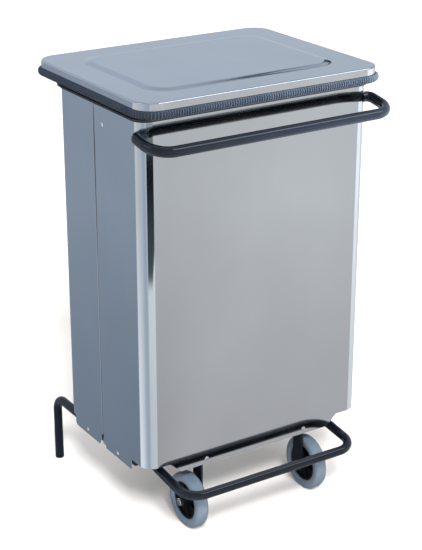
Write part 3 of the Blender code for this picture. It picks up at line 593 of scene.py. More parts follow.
def body_sheets():
    """Both folded sheets. The lower edge on the side wall runs from the seam to the corner."""
    start, end = FRONT_FLAP
    notch = ((0.0065, 0), (0.0048, 0.0006), (0.0036, 0.002), (0.003, 0.004))
    wall = [(LAP_END, NOTCH_TOP)] + [(start + y, NOTCH_TOP - drop) for y, drop in notch]
    wall += [(start + 0.0025, FLAP_BOTTOM + 0.003), (start + 0.0015, FLAP_BOTTOM + 0.0008)]
    wall += [(start, FLAP_BOTTOM), (end, FLAP_BOTTOM)]
    wall += [(end - 0.0007, CORNER_BOTTOM - 0.002), (end - 0.0025, CORNER_BOTTOM)]
    body_sheet("front_sheet", "front_shell", BODY_X - SHEET - GAP, wall, -1)

    start, end = REAR_FLAP
    wall = [(SEAM_Y, NOTCH_TOP), (start - 0.005, NOTCH_TOP - 0.0004), (start - 0.0035, NOTCH_TOP - 0.0022)]
    wall += [(start - 0.0023, FLAP_BOTTOM + 0.004), (start - 0.0015, FLAP_BOTTOM + 0.001)]
    wall += [(start, FLAP_BOTTOM)]
    curve = ((0, 0), (0.0035, 0.0007), (0.006, 0.0028), (0.0078, 0.006), (0.0086, 0.01))
    wall += [(end + y, FLAP_BOTTOM + z) for y, z in curve] + [(end + 0.0093, CORNER_BOTTOM)]
    body_sheet("rear_sheet", "rear_shell", BODY_X, wall, 1)


RIM_SHEET = 0.0025
RIM_ROUND = 0.0012
RIM_INNER_BOTTOM = 0.832
TAB_HALF_WIDTH = 0.01


def rim():
    """The channel over the upper edge, its rivet tabs, and the elastic band round it."""
    low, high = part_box("top_frame")
    out = high.x - BODY_X
    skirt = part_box("sack_band")[0].z - 0.003
    inner = -2 * (SHEET + GAP)
    inside = inner - RIM_SHEET
    bottom, edge = RIM_INNER_BOTTOM, 0.0005
    section = [(GAP, skirt), (out - 0.0006, skirt), (out, skirt + 0.0006), (out, high.z - RIM_ROUND)]
    section += arc((out - RIM_ROUND, high.z - RIM_ROUND), RIM_ROUND, 20, 90, 4)
    section += [(inside + 0.0008, high.z), (inside, high.z - 0.0008), (inside, bottom + edge)]
    section += [(inside + edge, bottom), (inner - edge, bottom), (inner, bottom + edge)]
    section += [(inner, BODY_TOP + GAP), (GAP, BODY_TOP + GAP)]
    meshes = [loft([body_ring(d, z) for d, z in section], closed=True)]
    rivet = mid("left_rivet_top")
    for _, s in SIDES:
        x0, x1 = sorted((s * (BODY_X + inside + 0.0001), s * (BODY_X + inner - 0.0002)))
        near = (x0, rivet.y - TAB_HALF_WIDTH, low.z)
        meshes.append(box_mesh(near, (x1, rivet.y + TAB_HALF_WIDTH, bottom + 0.004)))
    piece("rim_channel", merge(meshes), PAINT, "bin", ["top_frame"])
    low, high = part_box("sack_band")
    radius = (high.z - low.z) / 2
    centre = (high.x - BODY_X - radius, (low.z + high.z) / 2)
    rings = [body_ring(d, z) for d, z in arc(centre, radius, 0, 337.5, 15)]
    piece("elastic_band", loft(rings, closed=True), BRAID, "bin", ["sack_band"])


def rivets():
    """Domed rivets with their mandrel dimple, and the flared tail inside."""
    for node in frame["nodes"]:
        if "rivet" not in node:
            continue
        low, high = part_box(node)
        index = 1 if node.startswith(("front", "rear")) else 0
        outward = -1 if node.startswith(("front", "left")) else 1
        tip = (high if outward > 0 else low)[index]
        depth = high[index] - low[index]
        head = [(0.0003, 0.0009), (0.0009, 0.0008), (0.0011, 0.0001), (0.0016, 0), (0.0026, 0.0003)]
        head += [(0.0036, 0.0008), (0.0042, 0.0013), (0.0043, 0.0017), (0.002, 0.0017)]
        tail = [(0.002, depth - 0.0018), (0.0031, depth - 0.0016), (0.0033, depth - 0.0009)]
        tail += [(0.0026, depth - 0.0001), (0.001, depth)]
        tail += [(0.0007, depth - 0.0008), (0.0002, depth - 0.0008)]
        centre = mid(node)
        centre[index] = tip
        profile = [(r, -outward * d) for r, d in head + tail]
        piece(node + "_head", turned(profile, "xy"[index], centre, 28), ZINC, "bin", [node], 45.0)


# ---- lid


def lid_ring(offset, z, corner=LID_CORNER):
    low_y, high_y = LID_LOW.y - MID_Y - offset, LID_HIGH.y - MID_Y + offset
    radius = max(corner + offset, 0.0004)
    return [at(x, y, z) for x, y in rounded_rect(LID_HIGH.x + offset, low_y, high_y, radius, 24)]


# The stamped step: its distances from the lid's edge, its height and the radius of its corners.
STEP_OUT = 0.0535
STEP_IN = 0.0735
STEP_RISE = 0.003
STEP_CORNER = 0.105
EDGE_ROUND = 0.0028


def lid_profile():
    """(offset, height) from the raised middle over the step and the rim to the skirt."""
    top = LID_HIGH.z
    rim_z = top - STEP_RISE
    width = STEP_IN - STEP_OUT
    points = []
    for i in range(13):
        t = i / 12
        blend = min(max((t - 0.1) / 0.8, 0.0), 1.0)
        soft = blend * blend * (3 - 2 * blend) * 0.35 + blend * 0.65
        points.append((-STEP_IN + width * t, top - STEP_RISE * soft))
    points.append((-EDGE_ROUND - 0.0006, rim_z))
    for i in range(9):
        a = radians(90 * i / 8)
        points.append((-EDGE_ROUND * (1 - sin(a)), rim_z - EDGE_ROUND * (1 - cos(a))))
    return points


def lid():
    outer = []
    for offset, z in lid_profile():
        corner = LID_CORNER if offset > -STEP_OUT + 0.001 else STEP_CORNER
        outer.append((offset, z, corner))
    low = LID_LOW.z
    rings = [lid_ring(d, z, c) for d, z, c in outer]
    rings += [lid_ring(0, low + LIP), lid_ring(-LIP, low)]
    rings += [lid_ring(-SHEET + LIP, low), lid_ring(-SHEET, low + LIP)]
    for offset, z, corner in reversed(outer):
        rings.append(lid_ring(min(offset, -SHEET), z - SHEET, corner))
    piece("lid_skin", loft(rings), STEEL_LID, "lid", ["lid_shell"], 28.0)


RIB_PITCH = 0.0052
RIB_DEPTH = 0.0017
RIB_SHAPE = (0.0, 0.75, 1.0, 0.75)
GRIP_TOP = 0.8625


def trim():
    """Ribbed edge strip: the bulging section is swept along the skirt, rib by rib."""
    top, low, bulge = TRIM_HIGH.z, TRIM_LOW.z, TRIM_HIGH.x - LID_HIGH.x
    height = top - low
    grip = -SHEET - GAP
    outside = [(GAP, top - 0.0002), (0.0018, top), (0.004, top - 0.0007), (0.0058, top - 0.0024)]
    outside += [(bulge - 0.0003, top - 0.0046), (bulge, low + 0.5 * height), (bulge - 0.0003, low + 0.0048)]
    outside += [(0.0056, low + 0.0026), (0.0038, low + 0.0009), (0.0012, low)]
    inside = [(-0.0025, low), (-0.0035, low + 0.001), (-0.0035, GRIP_TOP - 0.001), (-0.003, GRIP_TOP)]
    inside += [(grip, GRIP_TOP), (grip, LID_LOW.z - GAP), (GAP, LID_LOW.z - GAP)]
    weights = [0.0, 0.25, 0.8, 1, 1, 1, 1, 1, 0.8, 0.2] + [0.0] * len(inside)
    line = rounded_rect(LID_HIGH.x, LID_LOW.y - MID_Y, LID_HIGH.y - MID_Y, LID_CORNER, 40)
    rings = []
    for index, (x, y, nx, ny) in enumerate(stations_along(line, RIB_PITCH, len(RIB_SHAPE))):
        dip = RIB_SHAPE[index % len(RIB_SHAPE)] * RIB_DEPTH
        ring = []
        for (offset, z), weight in zip(outside + inside, weights):
            reach = offset - dip * weight
            ring.append(at(x + nx * reach, y + ny * reach, z))
        rings.append(ring)
    piece("ribbed_edge_strip", loft(rings, closed=True), RUBBER_TRIM, "lid", ["lid_trim"], 60.0)


def stations_along(line, pitch, parts):
    """Evenly spaced (x, y, normal) along a closed outline, a whole number of ribs in all."""
    points = [Vector((x, y)) for i, (x, y) in enumerate(line) if (x, y) != line[i - 1]]
    lengths = [(b - a).length for a, b in zip(points, points[1:] + points[:1])]
    total = sum(lengths)
    count = round(total / pitch) * parts
    out, edge, start = [], 0, 0.0
    for k in range(count):
        target = total * k / count
        while target > start + lengths[edge]:
            start += lengths[edge]
            edge += 1
        a, b = points[edge], points[(edge + 1) % len(points)]
        t = (target - start) / lengths[edge]
        before, after = points[edge - 1], points[(edge + 2) % len(points)]
        along = (b - before).normalized().lerp((after - a).normalized(), t).normalized()
        spot = a.lerp(b, t)
        out.append((spot.x, spot.y, along.y, -along.x))
    return out


def lid_fittings():
    """Stepped rubber buffers under the front corners, and the hinge plates."""
    for name, _ in SIDES:
        node = "lid_buffer_" + name
        low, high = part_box(node)
        r = (high.x - low.x) / 2
        profile = [(0.0046, low.z), (0.0056, low.z + 0.0003), (0.0062, low.z + 0.0012)]
        profile += [(0.0072, low.z + 0.005), (0.008, high.z - 0.0046), (0.0086, high.z - 0.0038)]
        profile += [(0.01, high.z - 0.0034), (r - 0.0003, high.z - 0.0028), (r, high.z - 0.002)]
        profile += [(r, high.z)]
        buffer = turned(profile, "z", axis_point(node, "z"))
        piece("rubber_" + node, buffer, RUBBER_BLACK, "lid", [node], 50.0)
        keep_node("lid_leaf_" + name, PAINT, 0.0005)
        keep_node("hinge_bracket_" + name, PAINT, 0.0005)
    keep_node("lid_lever", PAINT, 0.0005)


PIN_RADIUS = 0.003
PIN_BODIES = {
    "lid_lever_pin": "lid",
    "pedal_lever_pin": "pedal",
    "hinge_pin_left": "bin",
    "hinge_pin_right": "bin",
}


def pins():
    """Clevis and hinge pins: rounded heads on both ends of a plain shank."""
    for node, body in PIN_BODIES.items():
        half, _, head = half_size(node)
        c = 0.0006
        side = [(PIN_RADIUS, half - 0.002), (head - 0.0003, half - 0.002), (head, half - 0.0017)]
        side += [(head, half - c), (head - c, half - 0.0001), (head - 2 * c, half)]
        profile = [(r, -a) for r, a in reversed(side)] + side
        piece(node + "_turned", turned(profile, "x", mid(node), 32), ZINC, body, [node], 45.0)


# ---- tubes


def hexagonal(node, profile, closed=False):
    """A zinc-plated screw, bolt or nut turned about its node's line along X."""
    mesh = turned(profile, "x", axis_point(node, "x"), 48, closed)
    piece(node + "_hex", mesh, ZINC, "bin", [node], 25.0)


def body_prism(low_z, high_z, grow):
    return loft([body_ring(grow, z, 28) for z in (low_z, high_z)])


def handle():
    """The bent push handle, coped to the body's walls, and the screws in its ends."""
    low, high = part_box("push_handle")
    radius = HANDLE_RADIUS
    screw = mid("handle_screw_left")
    leg_x = high.x - radius
    bar_z = low.z + radius
    bar_y = low.y - MID_Y + radius
    end_x, end_y, end_z = BODY_X - 0.013, screw.y - MID_Y, screw.z
    points = [at(-end_x, end_y, end_z), at(-leg_x, end_y, end_z), at(-leg_x, bar_y, bar_z)]
    points += [at(leg_x, bar_y, bar_z), at(leg_x, end_y, end_z), at(end_x, end_y, end_z)]
    path = bent_path(points, [0.012, HANDLE_BEND, HANDLE_BEND, 0.012], 16)
    bar = mesh_object("handle_bar", loft(tube_rings(path, radius, 40)))
    cut(bar, body_prism(screw.z - 0.03, BODY_TOP - 0.002, 0.0004))
    finish(bar, PAINT, "bin", ["push_handle"], 40.0)
    for name, s in SIDES:
        node = "handle_screw_" + name
        inner, outer = ends(node, s)
        profile = [(Flats(0.0046), inner), (Flats(0.005), inner + s * 0.0004)]
        profile += [(Flats(0.005), inner + s * 0.0038), (0.003, inner + s * 0.004), (0.003, outer)]
        hexagonal(node, profile)


def legs():
    """Tubes that run back along the sides and turn down to the floor, with ribbed foot plugs."""
    for name, _ in SIDES:
        node = "base_leg_" + name
        low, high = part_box(node)
        cap_low, cap_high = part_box("foot_cap_" + name)
        x = (low.x + high.x) / 2
        foot_y, rail_z = (cap_low.y + cap_high.y) / 2, high.z - TUBE_RADIUS
        path = bent_path([(x, foot_y, low.z), (x, foot_y, rail_z), (x, low.y, rail_z)], [LEG_BEND], 18)
        leg = mesh_object("leg_tube_" + name, loft(tube_rings(path, TUBE_RADIUS, 36)))
        path[0] = path[0] - Vector((0, 0, 0.01))
        path[-1] = path[-1] + Vector((0, TUBE_WALL, 0))
        cut(leg, loft(tube_rings(path, TUBE_RADIUS - TUBE_WALL, 36)))
        finish(leg, PAINT, "bin", [node], 40.0)
        r, top = (cap_high.x - cap_low.x) / 2, low.z - GAP
        plug = TUBE_RADIUS - TUBE_WALL - 2 * GAP
        foot = [(r - 0.0022, 0.0), (r - 0.0008, 0.0002), (r - 0.0002, 0.0009), (r, 0.0018)]
        foot += [(r, top - 0.0008), (r - 0.0003, top - 0.0002), (r - 0.001, top), (plug, top)]
        for rib in range(3):
            z = 0.0095 + 0.0042 * rib
            foot += [(plug - 0.0005, z), (plug, z + 0.0008), (plug, z + 0.0016), (plug - 0.0005, z + 0.0022)]
        foot += [(plug - 0.001, cap_high.z)]
        plug_mesh = turned(foot, "z", (x, foot_y, 0))
        piece("foot_plug_" + name, plug_mesh, PLASTIC, "bin", ["foot_cap_" + name], 45.0)


def pedal():
    """The looped foot pedal on its cross tube, with its welds, bushes, lever and rod."""
    low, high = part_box("pedal_tube")
    pivot = axis_point("pivot_tube", "x")
    arm_x = high.x - TUBE_RADIUS
    bar_y, bar_z = low.y + TUBE_RADIUS, low.z + TUBE_RADIUS
    ahead = (Vector((0, bar_y, bar_z)) - pivot).normalized()
    start = pivot + ahead * (PIVOT_RADIUS + GAP)
    points = [(-arm_x, start.y, start.z), (-arm_x, bar_y, bar_z)]
    points += [(arm_x, bar_y, bar_z), (arm_x, start.y, start.z)]
    path = bent_path(points, [PEDAL_BEND, PEDAL_BEND], 18)
    piece("pedal_bar", tube(path, TUBE_RADIUS), PAINT, "pedal", ["pedal_tube"], 40.0)
    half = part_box("pivot_tube")[1].x
    outer, inner, e = PIVOT_RADIUS, PIVOT_RADIUS - 0.002, 0.0004
    section = [(outer - e, -half), (outer, -half + e), (outer, half - e), (outer - e, half)]
    section += [(inner + e, half), (inner, half - e), (inner, -half + e), (inner + e, -half)]
    tube_mesh = turned(section, "x", pivot, 44, closed=True)
    piece("cross_tube", tube_mesh, PAINT, "pedal", ["pivot_tube"], 40.0)
    for name, s in SIDES:
        weld = weld_bead(Vector((s * arm_x, pivot.y, pivot.z)), ahead)
        piece("arm_weld_" + name, weld, PAINT, "pedal", [], 60.0)
        bushes(name, s)
    keep_node("pedal_lever", PAINT, 0.0006)
    keep_node("push_rod", ZINC, 0.0005)


BEAD_SIZE = 0.0017
BEAD_RIPPLE = 0.00025
BEAD_RIPPLES = 18


def weld_bead(centre, ahead):
    """A rippled fillet where a pedal arm meets the cross tube."""
    side = Vector((1, 0, 0))
    up = side.cross(ahead)
    rings = []
    count = 60
    for k in range(count):
        a = 2 * pi * k / count
        out = side * cos(a) + up * sin(a)
        rise = up.dot(out) * TUBE_RADIUS
        depth = (PIVOT_RADIUS**2 - rise**2) ** 0.5
        root = centre + out * TUBE_RADIUS + ahead * depth
        size = BEAD_SIZE + BEAD_RIPPLE * sin(BEAD_RIPPLES * a)
        bead = arc((0, 0), size, 0, 315, 7)
        rings.append([root + out * (u * 0.9) + ahead * v for u, v in bead])
    return loft(rings, closed=True)


# Bolts along X: radius of the shank, half the distance across the head's flats, height of the head.
PIVOT_BOLT = (0.004, 0.0065, 0.004)
AXLE_BOLT = (0.005, 0.0075, 0.005)


def bushes(name, s):
    """A flanged nylon bush in the end of the cross tube, and the bolt it turns on."""
    node = "pivot_bush_" + name
    inner, outer = ends(node, s)
    bore, sleeve, flange = 0.0043, 0.0087, 0.0125
    edge = outer - s * 0.0017
    profile = [(bore, inner), (sleeve - 0.0005, inner), (sleeve, inner + s * 0.0005), (sleeve, edge)]
    profile += [(flange - 0.0003, edge), (flange, edge + s * 0.0004), (flange, outer - s * 0.0004)]
    profile += [(flange - 0.0004, outer), (bore, outer)]
    mesh = turned(profile, "x", axis_point("pivot_tube", "x"), 40, closed=True)
    piece("nylon_bush_" + name, mesh, PLASTIC, "pedal", [node], 45.0)
    hex_bolt("pivot_bolt_" + name, s, *PIVOT_BOLT)


def hex_bolt(node, s, shank, flat, head):
    """A hexagon-headed bolt along X, its head outside, with a chamfered head and shank tip."""
    inner, outer = ends(node, s)
    hexagon = Flats(flat)
    profile = [(flat * 0.55, outer), (flat * 0.93, outer)]
    profile += [(hexagon, outer - s * 0.0009), (hexagon, outer - s * head)]
    profile += [(shank, outer - s * head), (shank, inner + s * 0.001), (shank - 0.001, inner)]
    hexagonal(node, profile)


# ---- wheels


def wheels():
    """Solid tyres on moulded hubs, their bolts and nuts, and the strap that holds them."""
    for name, s in SIDES:
        body = "wheel_" + name
        centre = mid("tyre_" + name)
        half, _, radius = half_size("tyre_" + name)
        boss_half, _, hub_radius = half_size("hub_" + name)
        tyre = turned(tyre_section(half, radius, hub_radius + GAP), "x", centre, 96, closed=True)
        piece("solid_tyre_" + name, tyre, RUBBER_TYRE, body, ["tyre_" + name], 50.0)
        hub = wheel_hub(half, hub_radius, boss_half, centre)
        piece("spoked_hub_" + name, hub, PLASTIC, body, ["hub_" + name], 35.0)
        hex_bolt("axle_bolt_" + name, s, *AXLE_BOLT)
        lock_nut("axle_nut_" + name, s)
    keep_node("wheel_strap", PAINT, 0.0006)


def tyre_section(half, radius, seat):
    """Solid tyre: crowned tread with a moulding line, round shoulders, dished walls with a lip."""
    side = [(radius - 0.0004, 0.0009), (radius - 0.0001, 0.0016), (radius - 0.0002, half * 0.35)]
    side += [(radius - 0.0007, half * 0.58), (radius - 0.002, half * 0.78), (radius - 0.0044, half * 0.93)]
    side += [(radius - 0.0072, half * 0.985), (radius - 0.0095, half), (seat + 0.004, half - 0.0004)]
    side += [(seat + 0.003, half - 0.001), (seat + 0.0022, half - 0.0018), (seat + 0.0006, half - 0.0024)]
    side += [(seat, half - 0.0032)]
    return [(r, -a) for r, a in reversed(side)] + [(radius - 0.0005, 0.0)] + side


HUB_RIBS = 6


def wheel_hub(half, radius, boss_half, centre):
    """Moulded hub: a rim, a thin web with ribs on both faces, and a boss round the axle."""
    bore, boss, web, rim = 0.0055, 0.0105, 0.0022, radius - 0.0042
    face = half - 0.004
    side = [(bore, boss_half - 0.0005), (bore + 0.0005, boss_half), (boss - 0.0006, boss_half)]
    side += [(boss, boss_half - 0.0006), (boss + 0.0012, web + 0.0016), (boss + 0.0028, web)]
    side += [(rim - 0.0022, web), (rim, web + 0.0014), (rim + 0.0006, face - 0.0004), (rim + 0.001, face)]
    side += [(radius - 0.0006, face), (radius, face - 0.0005)]
    section = side + [(r, -a) for r, a in reversed(side)]
    meshes = [turned(section, "x", centre, 72, closed=True)]
    for k in range(HUB_RIBS):
        angle = 2 * pi * (k + 0.25) / HUB_RIBS
        rib = box_mesh((-half * 0.55, boss - 0.0008, -0.0011), (half * 0.55, rim + 0.0012, 0.0011))
        taper_rib(rib)
        bmesh.ops.rotate(rib, verts=rib.verts, cent=(0, 0, 0), matrix=Matrix.Rotation(angle, 3, "X"))
        bmesh.ops.translate(rib, verts=rib.verts, vec=centre)
        meshes.append(rib)
    return merge(meshes)


def taper_rib(rib):
    """The ribs stand higher at the boss than at the rim."""
    boss = min(vert.co.y for vert in rib.verts)
    for vert in rib.verts:
        if vert.co.y < boss + 0.001:
            vert.co.x *= 1.15


def lock_nut(node, s):
    """A hexagon nut whose rounded collar faces the strap's inside."""
    inner, outer = ends(node, s)
    bore = 0.0053
    hexagon = Flats(AXLE_BOLT[1])
    profile = [(hexagon, outer), (hexagon, inner + s * 0.0024), (0.0068, inner + s * 0.0018)]
    profile += [(0.0066, inner + s * 0.0004), (0.006, inner), (bore + 0.0003, inner)]
    profile += [(bore, inner + s * 0.0003), (bore, outer)]
    hexagonal(node, profile, closed=True)


# ---- under the body


def floor_screws():
    """Pan-head screws through the bin's floor, with a cross recess."""
    for node in frame["nodes"]:
        if not node.startswith(("channel_screw", "strap_screw")):
            continue
        low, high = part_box(node)
        centre = axis_point(node, "z")
        top = high.z
        profile = [(0.0006, top), (0.0018, top - 0.0001), (0.0034, top - 0.0005), (0.0048, top - 0.0012)]
        profile += [(0.0056, top - 0.002), (0.0058, top - 0.0027), (0.003, top - 0.0027)]
        profile += [(0.003, low.z + 0.0006), (0.0024, low.z)]
        screw = mesh_object(node + "_pan", turned(profile, "z", centre, 32))
        for x, y in ((0.0022, 0.0005), (0.0005, 0.0022)):
            near = (centre.x - x, centre.y - y, top - 0.0011)
            cut(screw, box_mesh(near, (centre.x + x, centre.y + y, top + 0.001)))
        finish(screw, ZINC, "bin", [node], 35.0)


def under_parts():
    keep_node("base_pan", STEEL_PAN, 0.0004)
    keep_node("cross_channel_front", PAINT, 0.0006)
    keep_node("cross_channel_rear", PAINT, 0.0006)
    floor_screws()


# ---- stage, light and camera


def stage_material(name):
    material, n, shader = new_material(name, {"Specular IOR Level": 0.1})
    grain = n.noise(n.coords(), 3.0, 3.0)
    colour = n.mix(n.spread(grain), (0.885, 0.865, 0.85), (0.895, 0.878, 0.864))
    link(n, shader, color=colour, rough=n.spread(grain, 0.75, 0.85))
    return material


def floor():
    bm = bmesh.new()
    bmesh.ops.create_circle(bm, cap_ends=True, segments=96, radius=16.0)
    obj = mesh_object("studio_floor", bm)
    if obj.data.polygons[0].normal.z < 0:
        obj.data.flip_normals()
    obj.data.materials.append(stage_material("studio_floor"))


def emptied(owner):
    """The node tree of a material or world, with nothing in it yet."""
    owner.use_nodes = True
    owner.node_tree.nodes.clear()
    return Nodes(owner.node_tree)


def reflection_only(obj, colour, strength):
    """Makes a card that glows and shows only in polished surfaces, as a flag or a reflector does."""
    material = bpy.data.materials.new(obj.name)
    n = emptied(material)
    if callable(colour):
        colour = colour(n)
    glow = n.add("ShaderNodeEmission", {"Color": colour, "Strength": strength}).outputs[0]
    n.add("ShaderNodeOutputMaterial", {"Surface": glow})
    obj.data.materials.append(material)
    for ray in ("camera", "diffuse", "shadow", "transmission"):
        setattr(obj, "visible_" + ray, False)


# Compass turns, here and in the world, are in degrees from +X, anticlockwise seen from above.
FLAG_TURNS = (-121, -61.5)
RIGHT_TURNS = (-49, 67)
SLANT_TURNS = (-83, -62)
FLAG_NEAR_EDGE = (1.29, 1.35)
FLAG_FAR_FADE = (2.5, 3.4)
NEAR_CORNER = (-0.235, -0.148)
RIGHT_CORNER = (0.24, -0.144)
BRIGHT = (0.95, 0.99, 1.04)
STREAK = (0.56, 0.65, 0.75)
FRONT_FAR = (0.79, 0.8, 0.815)
# Painted shade: the mirrored floor close to the bin is darker, as if the bin shaded it.
FRONT_NEAR_SHADED = (0.6, 0.592, 0.6)
COOL_FAR = (0.385, 0.455, 0.555)
COOL_NEAR_SHADED = (0.25, 0.31, 0.395)
COOL_LIGHT = (0.7, 0.76, 0.84)
FLAG_NEAR = (0.07, 0.092, 0.106)
FLAG_FAR = (0.01, 0.015, 0.024)
# Painted shadow of the bin, on the reflection card under it.
BIN_SHADOW_PAINTED = (0.1, 0.105, 0.115)


def compass_value(degrees):
    """A compass turn as Nodes.compass gives it."""
    return (degrees + 180) / 360


def times(n, first, *factors):
    for factor in factors:
        first = n.math("MULTIPLY", first, factor)
    return first


def between(n, value, low, high, soft):
    """1 between low and high, 0 outside, with soft ends."""
    rising = n.rise(value, low - soft, low + soft)
    falling = n.fall(value, high - soft, high + soft)
    return times(n, rising, falling)


def between_turns(n, turn, first, last, soft):
    return between(n, turn, compass_value(first), compass_value(last), soft / 360)


def turn_about(n, place, corner):
    """Compass turn and distance of a floor point from a corner of the bin."""
    away = n.vector("SUBTRACT", place, at(*corner, 0))
    return n.compass(away), n.vector("LENGTH", away)


def compass_ramp(n, turn, stops):
    return n.ramp(turn, [(compass_value(degrees), colour) for degrees, colour in stops])


def azimuth_ramp(n, turn, front, cool, glare, dim, side):
    """Colours of the floor by compass turn from the near corner."""
    stops = (
        (-180, scaled(glare, 0.85)), (-165, scaled(STREAK, 1.25 * dim)), (-149, scaled(STREAK, dim)),
        (-130, scaled(STREAK, dim)), (-117, scaled(BRIGHT, 0.95 * side)), (-62, scaled(BRIGHT, side)),
        (-60, scaled(front, 0.92)), (-49, scaled(front, 1.08)), (0, front), (35, cool), (127, cool),
        (138, glare), (150, glare), (180, scaled(glare, 0.85)),
    )
    return compass_ramp(n, turn, stops)


def right_ramp(n, turn, strength):
    """Colours of the reflector to the right by compass turn from the right-hand front corner."""
    stops = (
        (-180, BRIGHT), (-47, scaled(BRIGHT, strength)), (-14, scaled(BRIGHT, strength)),
        (8, BRIGHT), (45, COOL_LIGHT), (66, COOL_FAR), (180, COOL_FAR),
    )
    return compass_ramp(n, turn, stops)


def bin_shadow_spot(n, place, reach, edge):
    """1 inside an ellipse on the floor under the bin, 0 outside it, soft at its edge: the mask of the shadow
    painted under the bin.
    """
    local = n.vector("MULTIPLY", place, (1 / reach[0], 1 / reach[1], 1.0))
    return n.fall(n.vector("LENGTH", local), 1 - edge, 1 + edge)


def flag_shape(n, turn, distance):
    """A dark flag on the floor: a sector whose near edge slants away at one end, and which fades far off."""
    sector = between_turns(n, turn, *FLAG_TURNS, 1.5)
    slant = n.spread(turn, 0.0, 0.24, *(compass_value(degrees) for degrees in SLANT_TURNS))
    reach = n.math("SUBTRACT", distance, slant)
    near_edge = n.rise(reach, *FLAG_NEAR_EDGE)
    return times(n, sector, near_edge, n.spread(distance, 1.0, 0.15, *FLAG_FAR_FADE))


def floor_colours(n):
    """What the steel mirrors of the floor: grey in front, blue-grey behind, a dark flag, a bright side,
    painted shade near the bin and a painted shadow under it.
    """
    place = n.add("ShaderNodeTexCoord").outputs["Object"]
    turn, distance = turn_about(n, place, NEAR_CORNER)
    near = azimuth_ramp(n, turn, FRONT_NEAR_SHADED, COOL_NEAR_SHADED, scaled(BRIGHT, 1.3), 1.05, 0.93)
    far = azimuth_ramp(n, turn, FRONT_FAR, COOL_FAR, scaled(BRIGHT, 0.9), 0.95, 1.3)
    # Painted shade: nearer the bin the card turns darker, standing in for the floor that the bin shades.
    colour = n.mix(n.rise(distance, 0.25, 2.0), near, far)
    flag = n.mix(n.rise(distance, 1.6, 2.2), FLAG_NEAR, FLAG_FAR)
    colour = n.mix(flag_shape(n, turn, distance), colour, flag)
    turn, distance = turn_about(n, place, RIGHT_CORNER)
    away = n.rise(distance, 0.5, 2.0)
    right = n.mix(away, right_ramp(n, turn, 1.15), right_ramp(n, turn, 1.6))
    colour = n.mix(between_turns(n, turn, *RIGHT_TURNS, 1.5), colour, right)
    # Painted shadow: the card is darkened under the bin, standing in for the bin's shadow on the floor that
    # the card hides from polished surfaces.
    return n.mix(bin_shadow_spot(n, place, (0.3, 0.22), 0.4), colour, BIN_SHADOW_PAINTED)


STRIP_LIGHT = (0.88, 0.94, 1.0)


def strip(name, low, high, height, strength):
    """A narrow strip overhead, which draws a highlight along the tubes."""
    corners = [(low[0], low[1]), (high[0], low[1]), (high[0], high[1]), (low[0], high[1])]
    bm = bmesh.new()
    bm.faces.new([bm.verts.new(at(x, y, height)) for x, y in corners])
    reflection_only(mesh_object(name, bm), (*STRIP_LIGHT, 1.0), strength)


def cards():
    bm = bmesh.new()
    bmesh.ops.create_circle(bm, cap_ends=True, segments=64, radius=9.0)
    bmesh.ops.translate(bm, verts=bm.verts, vec=(0, 0, 0.003))
    reflection_only(mesh_object("floor_card", bm), floor_colours, 1.0)
    strip("strip_right", (0.4, -2.2), (3.2, -1.0), 3.0, 4.4)
    strip("strip_left", (-2.6, -0.4), (-2.2, 1.2), 2.6, 4.2)


# Narrow dark things far off, mirrored in the lid's stamped step: compass turns, heights and softness.
DARK_BARS = ((48.5, 50.2, 0.47, 0.64, 0.015), (46.0, 49.3, 0.03, 0.34, 0.12))
DARK_BAR = (0.02, 0.035, 0.055)
# The mirrored sky, by height from the horizon at 0 to overhead at 1.
SKY = (
    (0.0, (0.56, 0.64, 0.75)), (0.25, (0.57, 0.65, 0.76)), (0.44, (0.5, 0.59, 0.72)),
    (0.6, (0.49, 0.54, 0.62)), (0.7, (0.42, 0.45, 0.5)), (0.84, (0.36, 0.39, 0.43)),
    (1.0, (0.85, 0.87, 0.9)),
)
LIT_FROM_WEST = (0.86, 0.87, 0.88)
LIT_FROM_EAST = (1.0, 0.985, 0.97)
LIT_STRENGTH = 0.86


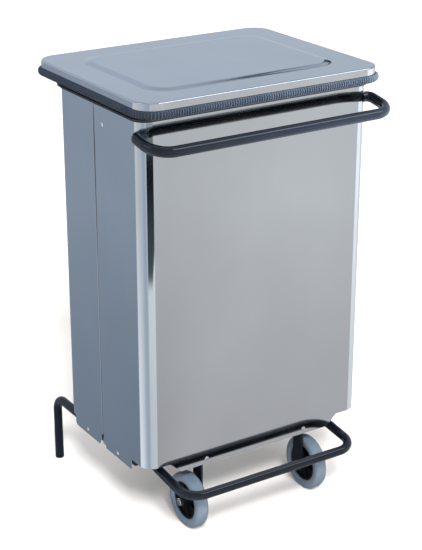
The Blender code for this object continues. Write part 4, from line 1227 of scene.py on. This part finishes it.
def world():
    """One sky for what polished surfaces mirror, a plain one that lights the rest, white for the camera."""
    made = bpy.data.worlds.new("studio")
    bpy.context.scene.world = made
    n = emptied(made)
    direction = n.add("ShaderNodeTexCoord").outputs["Generated"]
    split = n.add("ShaderNodeSeparateXYZ", {"Vector": direction})
    height, turn = split.outputs["Z"], n.compass(direction)
    colour = n.ramp(height, SKY)
    for first, last, low, high, soft in DARK_BARS:
        dark = times(n, between_turns(n, turn, first, last, 0.25), between(n, height, low, high, soft))
        colour = n.mix(dark, colour, DARK_BAR)
    light = n.mix(n.rise(split.outputs["X"], -0.9, 0.1), LIT_FROM_WEST, LIT_FROM_EAST)
    mirrored, lit, seen = (
        n.add("ShaderNodeBackground", {"Color": tone, "Strength": strength}).outputs[0]
        for tone, strength in ((colour, 1.0), (light, LIT_STRENGTH), ((1.0, 1.0, 1.0, 1.0), 1.0))
    )
    path = n.add("ShaderNodeLightPath")
    both = n.add("ShaderNodeMixShader", {0: path.outputs["Is Glossy Ray"], 1: lit, 2: mirrored}).outputs[0]
    both = n.add("ShaderNodeMixShader", {0: path.outputs["Is Camera Ray"], 1: both, 2: seen}).outputs[0]
    n.add("ShaderNodeOutputWorld", {"Surface": both})


def lamp(name, kind, place, aim, energy, colour):
    """A light for matt surfaces only: the cards make the highlights."""
    data = bpy.data.lights.new(name, kind)
    data.energy = energy
    data.color = colour
    obj = new_object(name, data)
    obj.location = place
    obj.rotation_euler = aim.to_track_quat("-Z", "Y").to_euler()
    obj.visible_glossy = False
    return data


def sun(name, heading, height, energy, spread, colour):
    level = Vector(heading)
    aim = Vector((level.x, level.y, -tan(radians(height)) * level.length))
    lamp(name, "SUN", (0, 0, 0), aim, energy, colour).angle = spread


BEAM_PLACE = Vector((1.7, -1.5, 0.95))
BEAM_TARGET = (0.36, -0.2, 0.9)


def trim_beam():
    """A small soft beam from the front right that picks out the ribs of the edge strip."""
    beam = lamp("trim_glow", "SPOT", BEAM_PLACE, at(*BEAM_TARGET) - BEAM_PLACE, 2800.0, (1.0, 0.93, 0.85))
    beam.spot_size = radians(25.0)
    beam.spot_blend = 1.0
    beam.shadow_soft_size = 0.12


def lights():
    trim_beam()
    sun("key", (0.42, 0.908), 44.0, 3.3, 0.22, (1.0, 0.985, 0.97))
    sun("front_fill", (0.15, 1.0), 14.0, 1.8, 0.7, (0.96, 0.98, 1.0))


CAMERA_PLACE = (-1.4699, -2.2898, 1.5441)
CAMERA_TURN = (68.172, 0.0, -32.5952)
FOCAL_PIXELS = 1480.87
PICTURE_HEIGHT = 550


def camera():
    data = bpy.data.cameras.new("camera")
    data.sensor_width = 36.0
    data.lens = FOCAL_PIXELS / PICTURE_HEIGHT * data.sensor_width
    data.clip_end = 60.0
    obj = new_object("camera", data)
    obj.location = at(*CAMERA_PLACE)
    obj.rotation_euler = [radians(a) for a in CAMERA_TURN]
    bpy.context.scene.camera = obj
    bpy.context.scene.view_settings.view_transform = "Standard"


def main():
    camera()
    floor()
    cards()
    world()
    lights()
    body_sheets()
    rim()
    rivets()
    lid()
    trim()
    lid_fittings()
    pins()
    handle()
    legs()
    pedal()
    wheels()
    under_parts()


main()
